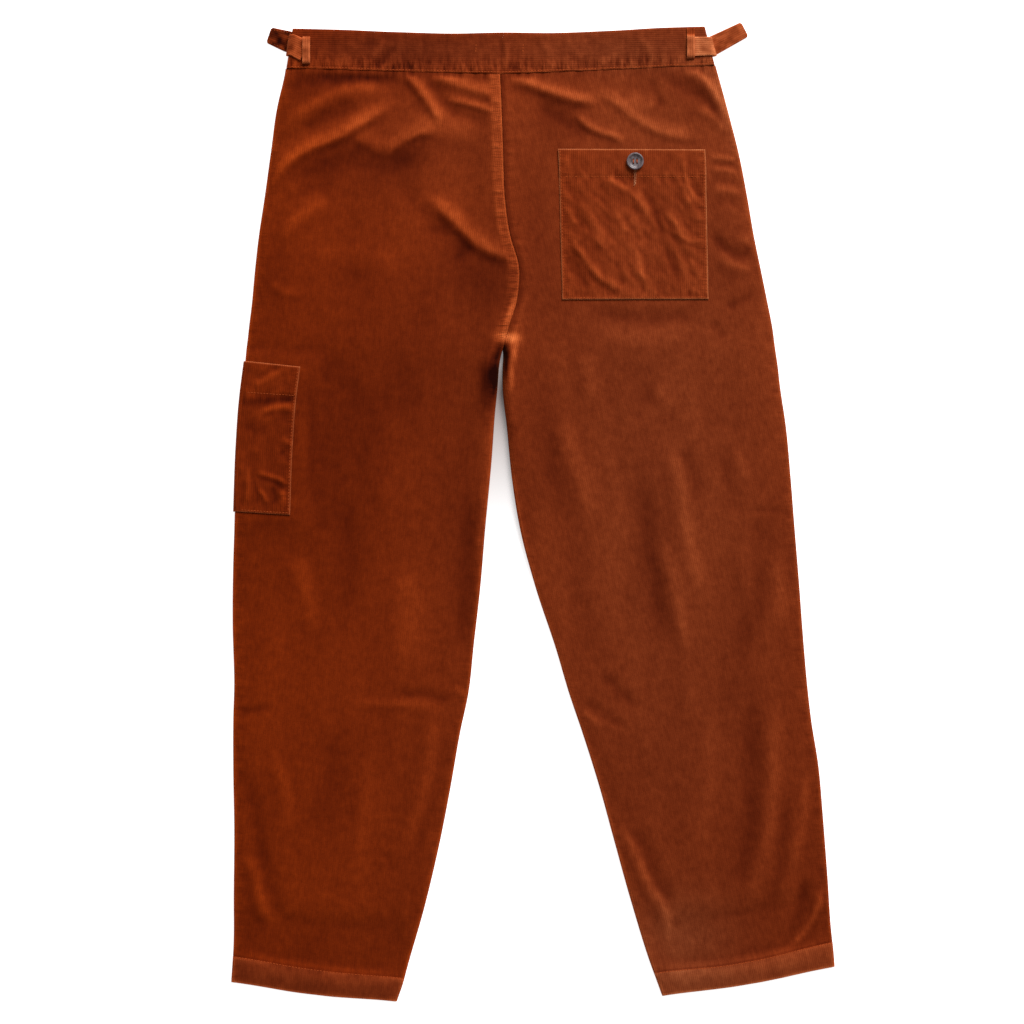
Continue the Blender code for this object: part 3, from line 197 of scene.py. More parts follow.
# A fold runs through the points of its path, with its height (a valley is negative) and the
# half width over which it dies away.  Its lean is positive where the flank on the left of the
# path is the steeper, and negative where the right one is.
FOLD_COLUMNS = "name height width lean path"
FOLDS = table(FOLD_COLUMNS, [
    # left seat
    ("main_ridge", 4.6, 8.5, -0.3, [
        (-276, 332), (-259, 359), (-243, 373), (-219, 384), (-201, 391), (-182, 402), (-160, 416),
        (-138, 434),
    ]),
    ("ledge_in", 1.8, 8, -0.4, [(-190, 391), (-178, 387), (-166, 380), (-154, 372)]),
    ("ledge_out", 3.0, 8, -0.4, [
        (-158, 369), (-147, 378), (-136, 386), (-124, 392), (-110, 395), (-98, 392),
    ]),
    ("under_ledge", -2.2, 15, 0, [
        (-262, 334), (-222, 357), (-180, 366), (-150, 360), (-122, 370), (-104, 378),
    ]),
    ("upper_ridge", 2.8, 9, 0.2, [(-262, 398), (-228, 422), (-201, 436), (-170, 440), (-142, 432)]),
    ("under_band_left", -1.9, 8, 0, [(-262, 430), (-242, 446), (-211, 452), (-170, 453), (-130, 449)]),
    ("between_ridges", -2.0, 10, 0, [(-248, 394), (-222, 408), (-198, 418), (-180, 426)]),
    ("gather_ridge", 4.4, 6, -0.2, [(-136, 461), (-121, 443), (-108, 425), (-92, 400)]),
    ("gather_floor", -1.4, 6, 0, [(-108, 450), (-97, 433), (-82, 418), (-72, 412)]),
    ("gather_right", 4.2, 7, -0.2, [(-112, 457), (-84, 447), (-60, 439), (-28, 432)]),
    ("gather_low", 2.8, 4, -0.2, [(-92, 430), (-70, 425), (-50, 419), (-26, 412)]),
    ("gather_hollow", -1.6, 7, 0, [(-90, 418), (-68, 411), (-44, 403)]),
    ("seat_swell", 2.0, 13, 0, [(-128, 404), (-92, 400), (-54, 388)]),
    ("diagonal", 4.2, 8.5, -0.3, [(-114, 332), (-88, 309), (-69, 290), (-52, 275), (-34, 268), (-8, 265)]),
    ("under_diagonal", -2.4, 14, 0, [(-104, 308), (-84, 284), (-66, 258)]),
    ("side_ridge_left", 2.2, 9, 0.2, [(-266, 282), (-240, 308), (-210, 326)]),
    ("side_hollow_left", -1.2, 10, 0, [(-262, 318), (-232, 336), (-200, 346)]),
    ("seat_drag", -1.5, 10, 0, [(-140, 352), (-126, 328), (-108, 303), (-96, 280)]),
    ("low_side_left", 1.2, 5, -0.2, [(-276, 238), (-260, 229), (-240, 223)]),
    ("low_seat_left", 0.9, 15, 0, [(-230, 262), (-180, 268), (-130, 252)]),
    # right seat
    ("yoke_ridge", 4.8, 6.5, -0.2, [(-30, 452), (-6, 446), (16, 438), (40, 430), (60, 427), (74, 424)]),
    ("yoke_hollow", -2.6, 10, 0, [(-4, 424), (21, 415), (44, 400), (64, 384)]),
    ("thin_ridge", 3.2, 4.5, -0.2, [(42, 417), (56, 402), (70, 395), (86, 390), (98, 381)]),
    ("pocket_ridge", 3.0, 7, -0.3, [(60, 442), (90, 423), (111, 406), (136, 394), (178, 388)]),
    ("bright_swell", 2.0, 9, 0, [(94, 432), (112, 425), (130, 420)]),
    ("drop_right", -1.6, 5, 0, [(120, 453), (128, 436), (138, 416)]),
    ("side_valley_right", -2.4, 8, 0, [(134, 452), (163, 438), (188, 422), (203, 404)]),
    ("edge_ridge", 3.8, 5.5, 0.2, [(154, 464), (174, 452), (189, 434), (204, 400)]),
    ("inner_edge_ridge", 1.6, 5, 0, [(170, 423), (186, 411), (202, 393)]),
    ("side_wrinkle_1", 1.5, 3.6, -0.2, [(182, 369), (198, 368), (214, 365)]),
    ("side_gap_1", -1.2, 3.6, 0, [(183, 362), (198, 361), (213, 359)]),
    ("side_wrinkle_2", 1.3, 3.6, -0.2, [(184, 355), (200, 355), (216, 352)]),
    ("side_gap_2", -1.3, 4.5, 0, [(184, 346), (198, 344), (216, 341)]),
    ("side_wrinkle_3", 1.4, 4.5, -0.2, [(186, 335), (202, 334), (218, 330)]),
    ("side_gap_3", -1.0, 5, 0, [(186, 325), (202, 323), (220, 320)]),
    ("side_crease", -2.6, 6, 0, [(184, 294), (199, 276), (214, 268), (233, 268)]),
    ("side_crease_above", 1.4, 5, -0.2, [(210, 286), (222, 281), (236, 275)]),
    ("side_crease_below", 1.8, 6, 0.2, [(190, 270), (208, 257), (230, 250)]),
    ("low_side_dark", -1.5, 6, 0, [(198, 210), (216, 220), (234, 231)]),
    ("low_side_dark_2", -1.3, 6, 0, [(182, 199), (192, 191), (203, 180)]),
    ("under_pocket", -2.0, 9, 0, [(52, 211), (116, 201), (180, 209)]),
    ("under_pocket_swell", 1.0, 12, 0, [(60, 186), (116, 178), (170, 186)]),
    # right leg
    ("inner_valley", -1.6, 14, 0, [
        (10, 176), (12, 96), (23, 38), (40, -8), (46, -60), (58, -128), (84, -186),
    ]),
    ("inner_swell", 1.2, 12, 0, [(50, 168), (57, 142), (61, 112)]),
    ("thigh_ridge", 1.7, 12, 0, [(26, 104), (38, 64), (51, 31), (60, -18)]),
    ("top_dark", -1.2, 11, 0, [(107, 158), (116, 132), (124, 108)]),
    ("top_light", 1.1, 9, 0, [(126, 136), (136, 121), (146, 106)]),
    ("long_ridge", 2.0, 11, 0, [(134, 90), (151, 35), (157, -2), (163, -40), (172, -72), (186, -98)]),
    ("long_valley", -1.8, 13, 0, [(108, 50), (118, -6), (125, -60), (133, -110), (146, -146)]),
    ("knee_ridge", 1.6, 10, 0, [(124, -22), (141, -53), (149, -94), (158, -129), (168, -150)]),
    ("outer_dark", -1.2, 9, 0, [(150, 70), (165, 45), (172, 8)]),
    ("outer_dark_2", -1.1, 9, 0, [(193, 74), (206, 24), (214, -6)]),
    ("outer_light", 1.0, 7, 0, [(210, 66), (216, 50), (221, 32)]),
    ("side_long_valley", -1.8, 12, 0, [(231, 16), (237, -50), (231, -104), (216, -140), (206, -162)]),
    ("side_bulge", 1.5, 12, 0, [(253, -36), (257, -80), (253, -126)]),
    ("side_nick", -0.9, 3, 0, [(222, 1), (241, 2), (262, 4)]),
    ("knee_crease", -1.9, 7, 0, [(68, -166), (88, -184), (110, -206)]),
    ("knee_fold_dark", -1.3, 6, 0, [(52, -194), (74, -210), (97, -226)]),
    ("knee_fold_light", 1.3, 5, 0, [(50, -206), (62, -216), (74, -227)]),
    ("hem_valley", -1.9, 9, 0, [(98, -324), (119, -352), (132, -386), (149, -416)]),
    ("hem_ridge", 2.3, 7, 0.2, [
        (84, -316), (105, -352), (119, -386), (137, -414), (142, -437), (131, -468),
    ]),
    ("calf_valley", -1.8, 12, 0, [(236, -164), (228, -235), (230, -293), (216, -374), (190, -420)]),
    ("calf_ridge", 1.8, 11, 0, [(252, -184), (250, -227), (248, -293), (240, -352), (222, -412)]),
    ("calf_side_valley", -1.5, 8, 0, [(265, -280), (260, -340), (254, -386), (238, -424)]),
    ("calf_side_ridge", 1.8, 8, 0, [(285, -266), (281, -316), (268, -378)]),
    ("hem_side_dark", -2.4, 7, 0, [(284, -372), (277, -421), (259, -455)]),
    ("hem_side_light", 3.0, 5, 0, [(302, -384), (296, -412), (282, -438), (262, -458)]),
    ("shin_swell", 1.0, 16, 0, [(184, -200), (180, -290), (172, -380)]),
    # left leg
    ("thigh_valley_left", -1.6, 12, 0, [(-197, 30), (-190, -40), (-197, -136)]),
    ("thigh_ridge_left", 1.6, 12, 0, [(-254, -42), (-240, -70), (-229, -130)]),
    ("inner_bulge_left", 1.6, 20, 0, [(-136, -50), (-131, -110), (-138, -170)]),
    ("inner_valley_left", -1.7, 11, 0, [(-64, 36), (-68, -60), (-76, -156)]),
    ("inner_rim_left", 1.1, 5, 0, [(-46, 56), (-52, 4), (-58, -60)]),
    ("knee_nick_left", 1.4, 4, 0, [(-84, -182), (-75, -187), (-68, -195)]),
    ("knee_dark_left", -1.5, 6, 0, [(-150, -188), (-108, -190), (-80, -199)]),
    ("knee_light_left", 1.1, 5, 0, [(-196, -199), (-155, -199), (-116, -202), (-92, -210)]),
    ("knee_side_left", -1.4, 5, 0, [(-308, -211), (-288, -205), (-268, -202)]),
    ("calf_valley_left", -1.6, 12, 0, [(-212, -212), (-208, -252), (-217, -303), (-236, -346)]),
    ("calf_ridge_left", 1.5, 10, 0, [(-274, -250), (-258, -291), (-255, -340)]),
    ("hem_valley_left", -2.0, 9, 0, [(-306, -252), (-288, -312), (-281, -358), (-267, -405), (-254, -436)]),
    ("hem_ridge_left", 2.2, 8, 0, [(-305, -352), (-290, -374), (-283, -410), (-264, -438)]),
    ("inseam_ridge_left", 1.7, 11, 0, [(-106, -203), (-109, -265), (-127, -335), (-142, -366)]),
    ("inseam_valley_left", -1.4, 8, 0, [(-87, -222), (-103, -293), (-126, -366)]),
    ("thin_dark_left", -1.1, 3, 0, [(-153, -350), (-149, -363), (-144, -376)]),
    ("spot_left", -0.9, 5, 0, [(-200, 38), (-196, 34), (-191, 30)]),
    ("thigh_swell_left", 0.9, 18, 0, [(-150, 120), (-146, 50), (-150, -10)]),
    ("shin_swell_left", 1.0, 16, 0, [(-180, -240), (-176, -310), (-186, -400)]),
    ("upper_thigh_left", -0.9, 12, 0, [(-224, 166), (-190, 130), (-168, 88)]),
    ("pocket_side_left", -0.9, 5, 0, [(-234, 150), (-230, 80), (-234, 6)]),
    ("pocket_foot_left", -0.8, 6, 0, [(-300, -10), (-270, -14), (-240, -12)]),
])

# Folds of the hidden front panels: they can only rise away from the surface below.
FRONT_FOLDS = table(FOLD_COLUMNS, [
    ("seat_left_1", 1.2, 9, 0, [(-250, 380), (-210, 400), (-150, 396)]),
    ("seat_left_2", 1.0, 10, 0, [(-240, 330), (-200, 350), (-160, 330)]),
    ("seat_right_1", 1.2, 9, 0, [(170, 390), (130, 410), (60, 404)]),
    ("seat_right_2", 1.0, 10, 0, [(190, 330), (150, 345), (100, 330)]),
    ("crotch_left", 1.3, 9, 0, [(-60, 250), (-90, 220), (-140, 200)]),
    ("crotch_right", 1.3, 9, 0, [(-10, 245), (30, 215), (80, 200)]),
    ("knee_left_1", 1.1, 8, 0, [(-280, -170), (-200, -190), (-110, -180)]),
    ("knee_left_2", 0.9, 7, 0, [(-270, -215), (-200, -222), (-130, -214)]),
    ("knee_right_1", 1.1, 8, 0, [(60, -150), (140, -170), (240, -150)]),
    ("knee_right_2", 0.9, 7, 0, [(80, -200), (150, -212), (230, -196)]),
    ("calf_left", 1.0, 10, 0, [(-250, -260), (-240, -340), (-250, -430)]),
    ("calf_right", 1.0, 10, 0, [(220, -250), (226, -340), (240, -420)]),
    ("thigh_left", 0.9, 12, 0, [(-180, 120), (-170, 30), (-180, -60)]),
    ("thigh_right", 0.9, 12, 0, [(120, 110), (140, 20), (160, -70)]),
])

# Wrinkles of the back pocket, on top of what the panel below does.
POCKET_FOLDS = table(FOLD_COLUMNS, [
    ("fan_left", 1.3, 4, 0, [(75, 350), (86, 341), (102, 333)]),
    ("fan_middle", 1.4, 4, 0, [(105, 337), (112, 322), (120, 304)]),
    ("fan_dark", -1.5, 4, 0, [(113, 345), (124, 320), (138, 279)]),
    ("fan_dark_low", -1.3, 5, 0, [(136, 283), (146, 255), (153, 229)]),
    ("low_left_dark", -1.4, 5, 0, [(31, 269), (46, 250), (61, 231)]),
    ("mid_left_ridge", 1.1, 4, 0, [(33, 317), (39, 307), (46, 296)]),
    ("long_ridge", 1.6, 4.5, -0.2, [(35, 297), (47, 273), (58, 255), (80, 236), (98, 228)]),
    ("mid_ridge", 1.2, 4, 0, [(85, 311), (92, 300), (99, 288)]),
    ("mid_low_ridge", 1.1, 4, 0, [(105, 273), (111, 256), (115, 238)]),
    ("right_ridge", 1.5, 4, -0.2, [(132, 317), (147, 299), (156, 285), (178, 278)]),
    ("right_top_fold", 1.3, 3, 0, [(155, 377), (158, 350), (173, 314)]),
    ("right_top_fold_dark", -1.2, 3, 0, [(162, 377), (165, 350), (179, 320)]),
    ("right_glint", 1.2, 4, 0, [(153, 345), (159, 331), (165, 317)]),
    ("left_swell", 1.0, 8, 0, [(48, 332), (60, 300), (78, 268)]),
    ("low_right_ridge", 1.0, 4, 0, [(150, 262), (158, 248), (162, 232)]),
    ("low_middle_dark", -1.0, 4, 0, [(84, 262), (92, 246), (96, 234)]),
    ("hem_left_pinch", 0.9, 3, 0, [(34, 374), (36, 362), (38, 351)]),
    ("hem_right_pinch", -0.9, 3, 0, [(140, 376), (142, 364), (140, 351)]),
])
THIGH_POCKET_FOLDS = table(FOLD_COLUMNS, [
    ("under_hem_dark", -1.2, 4.5, 0, [(-312, 111), (-294, 113.5), (-276, 116), (-258, 117), (-240, 116)]),
    ("under_hem_light", 1.9, 4, 0, [(-286, 102), (-272, 107), (-260, 109.5), (-246, 106)]),
    ("hem_swell", 1.2, 4, 0, [(-292, 132), (-276, 138), (-262, 146), (-250, 148)]),
    ("hem_dark", -1.2, 4, 0, [(-296, 144), (-284, 140), (-272, 148), (-256, 152)]),
    ("mid_dark", -1.2, 5, 0, [(-304, 96), (-294, 88), (-284, 78)]),
    ("mid_light", 0.9, 6, 0, [(-292, 106), (-280, 96), (-268, 92)]),
    ("low_ridge", 1.9, 3, 0, [(-288, 42), (-276, 38), (-264, 34), (-254, 28)]),
    ("low_valley", -0.9, 3, 0, [(-284, 37), (-270, 32), (-258, 24), (-250, 22)]),
    ("streak_left", 1.7, 3, 0, [(-297, 50), (-296, 28), (-298, 6)]),
    ("streak_left_dark", -1.0, 3, 0, [(-291, 34), (-287, 20), (-286, 6)]),
    ("streak_middle", 2.0, 2.5, 0, [(-285, 24), (-280, 18), (-276, 8)]),
    ("streak_right_dark", -1.7, 3, 0, [(-271, 28), (-268, 16), (-269, 5)]),
    ("streak_right", 2.0, 3, 0, [(-262, 24), (-259, 14), (-261, 5)]),
    ("edge_pinch", 1.0, 3, 0, [(-262, 78), (-254, 72), (-247, 70)]),
    ("edge_pinch_low", -1.0, 3, 0, [(-264, 64), (-256, 58), (-249, 56)]),
])

# Painted highlights and painted shade, with some places where the pile is brushed lighter or darker: painted
# shade under the waistband, the ledges and the diagonal, in the seam hollow and deep in the leg gap by the
# crotch; painted highlights on the gathers, the crotch knot and the right side's edge; painted light over the
# right seat. Each is an ellipse, its tilt and its gain.
LIGHT_SHADE_AND_NAP_PATCHES = table("name x y reach_x reach_y tilt gain", [
    ("band_left", -160, 480, 120, 40, 0, -0.22),
    ("under_band_left", -205, 447, 70, 13, 8, -0.28),
    ("seat_bright", -190, 412, 60, 22, 24, 0.06),
    ("ledge_bright", -108, 408, 50, 22, 0, 0.08),
    ("ledge_dark", -129, 370, 25, 14, 25, -0.34),
    ("under_main", -216, 364, 34, 9, 20, -0.24),
    ("ledge_dark_left", -182, 380, 26, 13, -10, -0.22),
    ("gather_light", -70, 437, 26, 9, -18, 0.34),
    ("gather_light_low", -48, 419, 20, 4, -24, 0.20),
    ("seat_right", 110, 390, 120, 90, 0, 0.14),
    ("seat_dark", -180, 350, 80, 20, 6, -0.18),
    ("seat_side", -272, 260, 20, 60, 0, -0.10),
    ("under_diagonal", -64, 251, 36, 26, -40, -0.26),
    ("seat_low", -130, 235, 110, 50, 0, -0.10),
    ("yoke_bright", 60, 428, 60, 14, -26, 0.14),
    ("pocket_side_bright", 130, 405, 60, 18, -14, 0.12),
    ("yoke_hollow", 24, 402, 26, 22, 0, -0.20),
    ("right_side_bright", 200, 380, 22, 60, 0, 0.06),
    ("beside_seam", 0, 300, 16, 100, 0, -0.04),
    ("seam_hollow", -44, 222, 26, 40, 0, -0.16),
    ("knot", -25.8, 181, 9.5, 4.6, -8, 4.6),
    ("knot_up", -23.6, 208, 18, 2.7, 72, 1.9),
    ("knot_glow", -24, 190, 14, 16, 0, 0.30),
    ("crest_upper", -18.8, 168, 13, 3.0, 84, 1.5),
    ("crest_lower", -23.0, 143, 13, 2.2, 96, 1.1),
    ("slit_right", -28.0, 154, 16, 4.2, 88, -1.25),
    ("slit_left", -44.2, 142.5, 27, 10.2, 84, -1.15),
    ("slit_left_edge", -37.2, 138, 24, 3.6, 86, -0.9),
    ("slit_low_right", -24, 84, 26, 5.0, 97, -0.35),
    ("slit_low_left", -46, 108, 18, 8.0, 86, -0.35),
    ("leg_left_upper", -190, 90, 130, 140, 0, -0.30),
    ("leg_left_lower", -200, -300, 130, 160, 0, -0.06),
    ("leg_right_lower", 210, -300, 130, 160, 0, -0.07),
    ("leg_left_middle", -135, -70, 50, 110, 0, 0.06),
    ("leg_left_inner", -70, -30, 18, 130, 0, -0.14),
    ("leg_left_dark", -196, -40, 22, 90, 0, -0.08),
    ("leg_left_knee", -150, -205, 60, 14, -3, 0.06),
    ("leg_right_upper", 110, 130, 120, 80, 0, 0.03),
    ("leg_right_valley", 126, -60, 18, 90, 8, -0.08),
    ("leg_right_middle", 60, -60, 22, 120, 10, 0.04),
    ("calf_right_dark", 216, -330, 26, 110, -6, -0.10),
    ("calf_right_light", 150, -450, 34, 30, 4, 0.14),
    ("above_hem_left", -225, -445, 80, 26, 0, -0.16),
    ("above_hem_right", 230, -435, 50, 22, 0, -0.10),
    ("side_glow", 198, 426, 34, 6, -65, 0.85),
    ("side_glow_low", 232, 300, 60, 5, -78, 0.25),
    ("pocket_hollow", -282, 115, 30, 4.6, 6, -0.20),
    ("pocket_light", -263, 108, 12, 4.0, 3, 0.42),
    ("pocket_hem", -270, 140, 26, 11, 3, 0.26),
])

# Painted sheen: where the pile is made paler, as it looks where it leans towards the light, most on the right
# half, nearer the light.
PAINTED_SHEEN_PATCHES = table("name x y reach_x reach_y tilt gain", [
    ("right_half", 150, 100, 230, 800, 0, 1.15),
    ("calf_low_right", 156, -445, 60, 50, 0, 0.9),
    ("side_glow", 200, 420, 60, 12, -68, 0.4),
    ("band_left", -150, 480, 120, 22, 0, 0.7),
    ("band_right", 90, 480, 120, 22, 0, 0.6),
    ("seat_left", -120, 400, 110, 70, 0, 0.3),
])
# What the painted sheen adds to the colour of the cloth.
PAINTED_SHEEN_COLOUR = (0.0, 0.0078, 0.0044, 1.0)

RUST = (0.170, 0.0172, 0.0010, 1.0)
# The straps and keepers get a lighter rust than the panels: painted light, where they catch more of it.
STRAP_RUST = (0.235, 0.034, 0.0060, 1.0)
THREAD = (0.40, 0.072, 0.016, 1.0)
PALE_THREAD = (0.52, 0.20, 0.095, 1.0)
HORN_DARK = (0.066, 0.047, 0.048, 1.0)
HORN_PALE = (0.170, 0.130, 0.136, 1.0)
FLOOR_SHADE = (0.29, 0.21, 0.19, 1.0)
FLOOR_PALE = (0.8, 0.8, 0.8, 1.0)

BAND_TOP = table(
    "x y",
    [(-249.9, 502.3), (-190, 500.8), (-138, 499.2), (-86, 497.8), (-31.2, 498.8), (23, 498.4)]
    + [(80, 500.6), (141, 503.3), (178.5, 504.4)],
)
BAND_WRINKLES = table(FOLD_COLUMNS, [
    ("left_slant", 1.3, 4, 0, [(-172, 462), (-163, 476), (-152, 492)]),
    ("left_slant_dark", -1.2, 4, 0, [(-161, 461), (-152, 474), (-142, 487)]),
    ("left_end_dark", -0.9, 6, 0, [(-214, 464), (-208, 480), (-211, 496)]),
    ("left_lobe", 0.8, 6, 0, [(-196, 466), (-190, 478), (-186, 490)]),
    ("centre_pleat", -1.2, 2.5, 0, [(-35, 459), (-33, 474), (-34, 494)]),
    ("centre_ridge", 1.2, 3, 0, [(-28, 459), (-27, 474), (-28, 492)]),
    ("tack_left", 1.0, 3, 0, [(-67, 459), (-63, 466), (-61, 474)]),
    ("tack_right", 0.9, 3, 0, [(-14, 459), (-11, 468), (-9, 480)]),
    ("right_slant_1", 0.8, 4, 0, [(6, 493), (14, 482), (24, 472)]),
    ("right_slant_2", 0.9, 4, 0, [(32, 495), (42, 482), (52, 468)]),
    ("right_slant_3", 0.7, 5, 0, [(68, 464), (84, 474), (100, 488)]),
    ("right_slant_4", 0.9, 5, 0, [(108, 498), (118, 484), (124, 468)]),
    ("keeper_ridge", 1.1, 2.5, 0, [(158, 464), (159, 480), (158, 500)]),
])

# The last two columns are painted light and shade on each strap's face and tail: the left tail darker, in the
# waistband's shadow, and the right strap lighter, facing the light.
STRAPS = table(
    "side start_x start_y edge_y loose turn_x turn_y exit_x exit_y end_x end_y face_width end_width"
    " face_tone tail_tone",
    [
        ("left", -236.8, 478.4, 485.0, 1.0, -224.0, 480.5, -255.8, 490.4, -275.2, 497.0, 22.0, 17.0)
        + (0.15, -0.55),
        ("right", 161.0, 483.1, 483.6, 3.0, 167.0, 475.0, 188.8, 486.6, 220.7, 503.0, 20.0, 17.0)
        + (0.75, 0.3),
    ],
)
# Share of the radius and height, from the middle of the top, over the rim, to the underside.
BUTTON_PROFILE = [(0, 1.7), (0.45, 1.75), (0.6, 1.95), (0.68, 2.25), (0.74, 2.75), (0.80, 3.15)]
BUTTON_PROFILE += [(0.86, BUTTON_THICK), (0.91, 3.38), (0.955, 3.1), (0.99, 2.6), (1.0, 2.1)]
BUTTON_PROFILE += [(0.985, 1.5), (0.93, 0.9), (0.82, 0.4), (0.6, 0.1), (0.3, 0.0), (0, 0)]

KEEPERS = table("side x top strap_top strap_end end top_tone tone", [
    ("left", -235.3, 493.0, 491.0, 466.8, 466.6, 0.4, 0.45),
    ("right", 163.8, 502.4, 494.0, 472.8, 471.0, -0.2, 0.6),
])

# Angle of the ribs to +Y, positive where they run down to the left.
GRAIN = {"left": 6.0, "right": -11.0, "back_pocket": -2.0, "thigh_pocket": 4.0}
RIB_PITCH = 2.05 * MM

STITCH_LENGTH = 3.0
STITCH_GAP = 0.3
STITCH_RADIUS = 0.31


def ease(share):
    """0 to 1 with level ends."""
    share = np.clip(share, 0.0, 1.0)
    return share * share * (3.0 - 2.0 * share)


def plateau(distance, flat, ramp):
    """1 up to the flat distance, then down to 0 over the ramp."""
    return 1.0 - ease((distance - flat) / ramp)


def bell(value, width=1.0):
    """1 where the value is 0, and less to both sides over the width."""
    return np.exp(-((value / width) ** 2))


def turned_edge(distance, reach):
    """0 at an edge to 1 at its reach, along a quarter of a circle."""
    share = np.clip(distance / reach, 0, 1)
    return np.sqrt(1 - (1 - share) ** 2)


def way_along(points):
    """The way along a path to each of its points."""
    steps = np.linalg.norm(np.diff(points, axis=0), axis=1)
    return np.concatenate([[0.0], np.cumsum(steps)])


def moved(points, up, right=0.0):
    """A copy of the points that lies this much higher and further to the right."""
    points = points.copy()
    points[..., 2] += up
    points[..., 0] += right
    return points


def smooth(knots, values, at):
    """The values between the knots, on a cubic through each of them."""
    knots, values = np.asarray(knots, float), np.asarray(values, float)
    spans = np.diff(knots)
    rises = np.diff(values) / spans
    slopes = np.concatenate([rises[:1], rises[:1], rises[1:]])
    slopes[1:-1] = (rises[:-1] * spans[1:] + rises[1:] * spans[:-1]) / (spans[1:] + spans[:-1])
    at = np.asarray(at, float)
    piece = np.clip(np.searchsorted(knots, at, side="right") - 1, 0, len(spans) - 1)
    span = spans[piece]
    share = (at - knots[piece]) / span
    rest = 1.0 - share
    return (
        values[piece] * (1 + 2 * share) * rest**2
        + values[piece + 1] * (3 - 2 * share) * share**2
        + span * slopes[piece] * share * rest**2
        - span * slopes[piece + 1] * share**2 * rest
    )


def noise(u, v, seed, size=97):
    """Smooth noise from -1 to 1 with cells of size 1."""
    u, v = np.broadcast_arrays(np.asarray(u, float), np.asarray(v, float))
    values = np.random.default_rng(seed).uniform(-1, 1, (size, size))
    low_u, low_v = np.floor(u).astype(int), np.floor(v).astype(int)
    share_u, share_v = ease(u - low_u), ease(v - low_v)

    def corner(step_u, step_v):
        return values[(low_u + step_u) % size, (low_v + step_v) % size]

    low = corner(0, 0) * (1 - share_u) + corner(1, 0) * share_u
    high = corner(0, 1) * (1 - share_u) + corner(1, 1) * share_u
    return low * (1 - share_v) + high * share_v


def rows_of(some_table):
    """The rows of a table as objects with a field for each column."""
    columns = list(some_table)
    return [SimpleNamespace(**dict(zip(columns, values))) for values in zip(*some_table.values())]


FOLD_PIECES = 10
FOLD_TAPER = 0.25
FOLD_RELIEF = 0.5
# The way the light comes from in the ground plan; the painted highlights of the folds lean towards it.
LIGHT_X, LIGHT_Y = 0.35, 0.94


def fold_parts(x, y, folds):
    """For each fold: the points near it, their signed distance over its width, its taper and facing."""
    for fold in rows_of(folds):
        path = np.array(fold.path, float)
        knots = way_along(path)
        at = np.linspace(0.0, knots[-1], FOLD_PIECES + 1)
        path_x, path_y = smooth(knots, path[:, 0], at), smooth(knots, path[:, 1], at)
        reach = 3.0 * fold.width * (1 + abs(fold.lean))
        near = (x > path_x.min() - reach) & (x < path_x.max() + reach)
        near &= (y > path_y.min() - reach) & (y < path_y.max() + reach)
        if not near.any():
            continue
        near_x, near_y = x[near], y[near]
        nearest, along = np.full_like(near_x, np.inf), 0 * near_x
        flank, facing = 0 * near_x, 0 * near_x
        for piece in range(FOLD_PIECES):
            run_x, run_y = path_x[piece + 1] - path_x[piece], path_y[piece + 1] - path_y[piece]
            off_x, off_y = near_x - path_x[piece], near_y - path_y[piece]
            part = np.clip((off_x * run_x + off_y * run_y) / (run_x**2 + run_y**2), 0, 1)
            distance = np.hypot(off_x - part * run_x, off_y - part * run_y)
            closer = distance < nearest
            along = np.where(closer, (piece + part) / FOLD_PIECES, along)
            flank = np.where(closer, np.sign(run_x * off_y - run_y * off_x), flank)
            lit = (run_x * LIGHT_Y - run_y * LIGHT_X) / np.hypot(run_x, run_y)
            facing = np.where(closer, lit, facing)
            nearest = np.minimum(distance, nearest)
        width = fold.width * (1 - fold.lean * flank)
        taper = ease(along / FOLD_TAPER) * ease((1 - along) / FOLD_TAPER)
        yield fold, near, flank * nearest / width, taper, facing


def fold_height(x, y, folds):
    """The sum of the folds at points of the ground plan."""
    total = np.zeros_like(x)
    for fold, near, off, taper, _ in fold_parts(x, y, folds):
        total[near] += FOLD_RELIEF * fold.height * taper * bell(off)
    return total


def fold_shine(x, y, folds):
    """Painted highlight along the lit side of each crest and painted shade on the other side, and painted
    shade along each valley.
    """
    total = np.zeros_like(x)
    for fold, near, off, taper, facing in fold_parts(x, y, folds):
        strength = min(abs(fold.height), 5.0)
        if fold.height > 0:
            bright = 0.16 * strength * bell(off - 0.25 * facing, 0.75)
            dark = 0.060 * strength * bell(off + 1.3 * facing, 0.85)
            total[near] += taper * (bright - dark)
        else:
            total[near] -= 0.085 * strength * taper * bell(off)
    return total


def tone_at(x, y, patches=LIGHT_SHADE_AND_NAP_PATCHES):
    """The sum of the patches at points of the ground plan."""
    total = np.zeros_like(x)
    for patch in rows_of(patches):
        turn = radians(patch.tilt)
        along = ((x - patch.x) * cos(turn) + (y - patch.y) * sin(turn)) / patch.reach_x
        aside = ((y - patch.y) * cos(turn) - (x - patch.x) * sin(turn)) / patch.reach_y
        total += patch.gain * np.exp(-(along**2) - aside**2)
    return total


def spread(values, reach):
    """The mean over the cells that lie up to this many cells away, each way."""
    for axis in (0, 1):
        before_after = [(0, 0), (0, 0)]
        before_after[axis] = (reach + 1, reach)
        total = np.cumsum(np.pad(values, before_after, mode="edge"), axis=axis)
        start = np.arange(values.shape[axis])
        whole = np.take(total, start + 2 * reach + 1, axis=axis) - np.take(total, start, axis=axis)
        values = whole / (2 * reach + 1)
    return values


def crest_highlight_hollow_shade(height):
    """Painted highlight on crests and painted shade in hollows, from the heights."""
    broad = np.clip(height - spread(height, 6), -2.5, 2.5)
    fine = np.clip(height - spread(height, 2), -0.7, 0.7)
    return 0.09 * broad + 0.24 * fine


def pucker(along, off, wavelength, reach, seed):
    """Small uneven ripples that cross a row of stitches."""
    ripple = noise(2.0 * along / wavelength, off / 14.0, seed)
    return ripple * bell(off, reach)


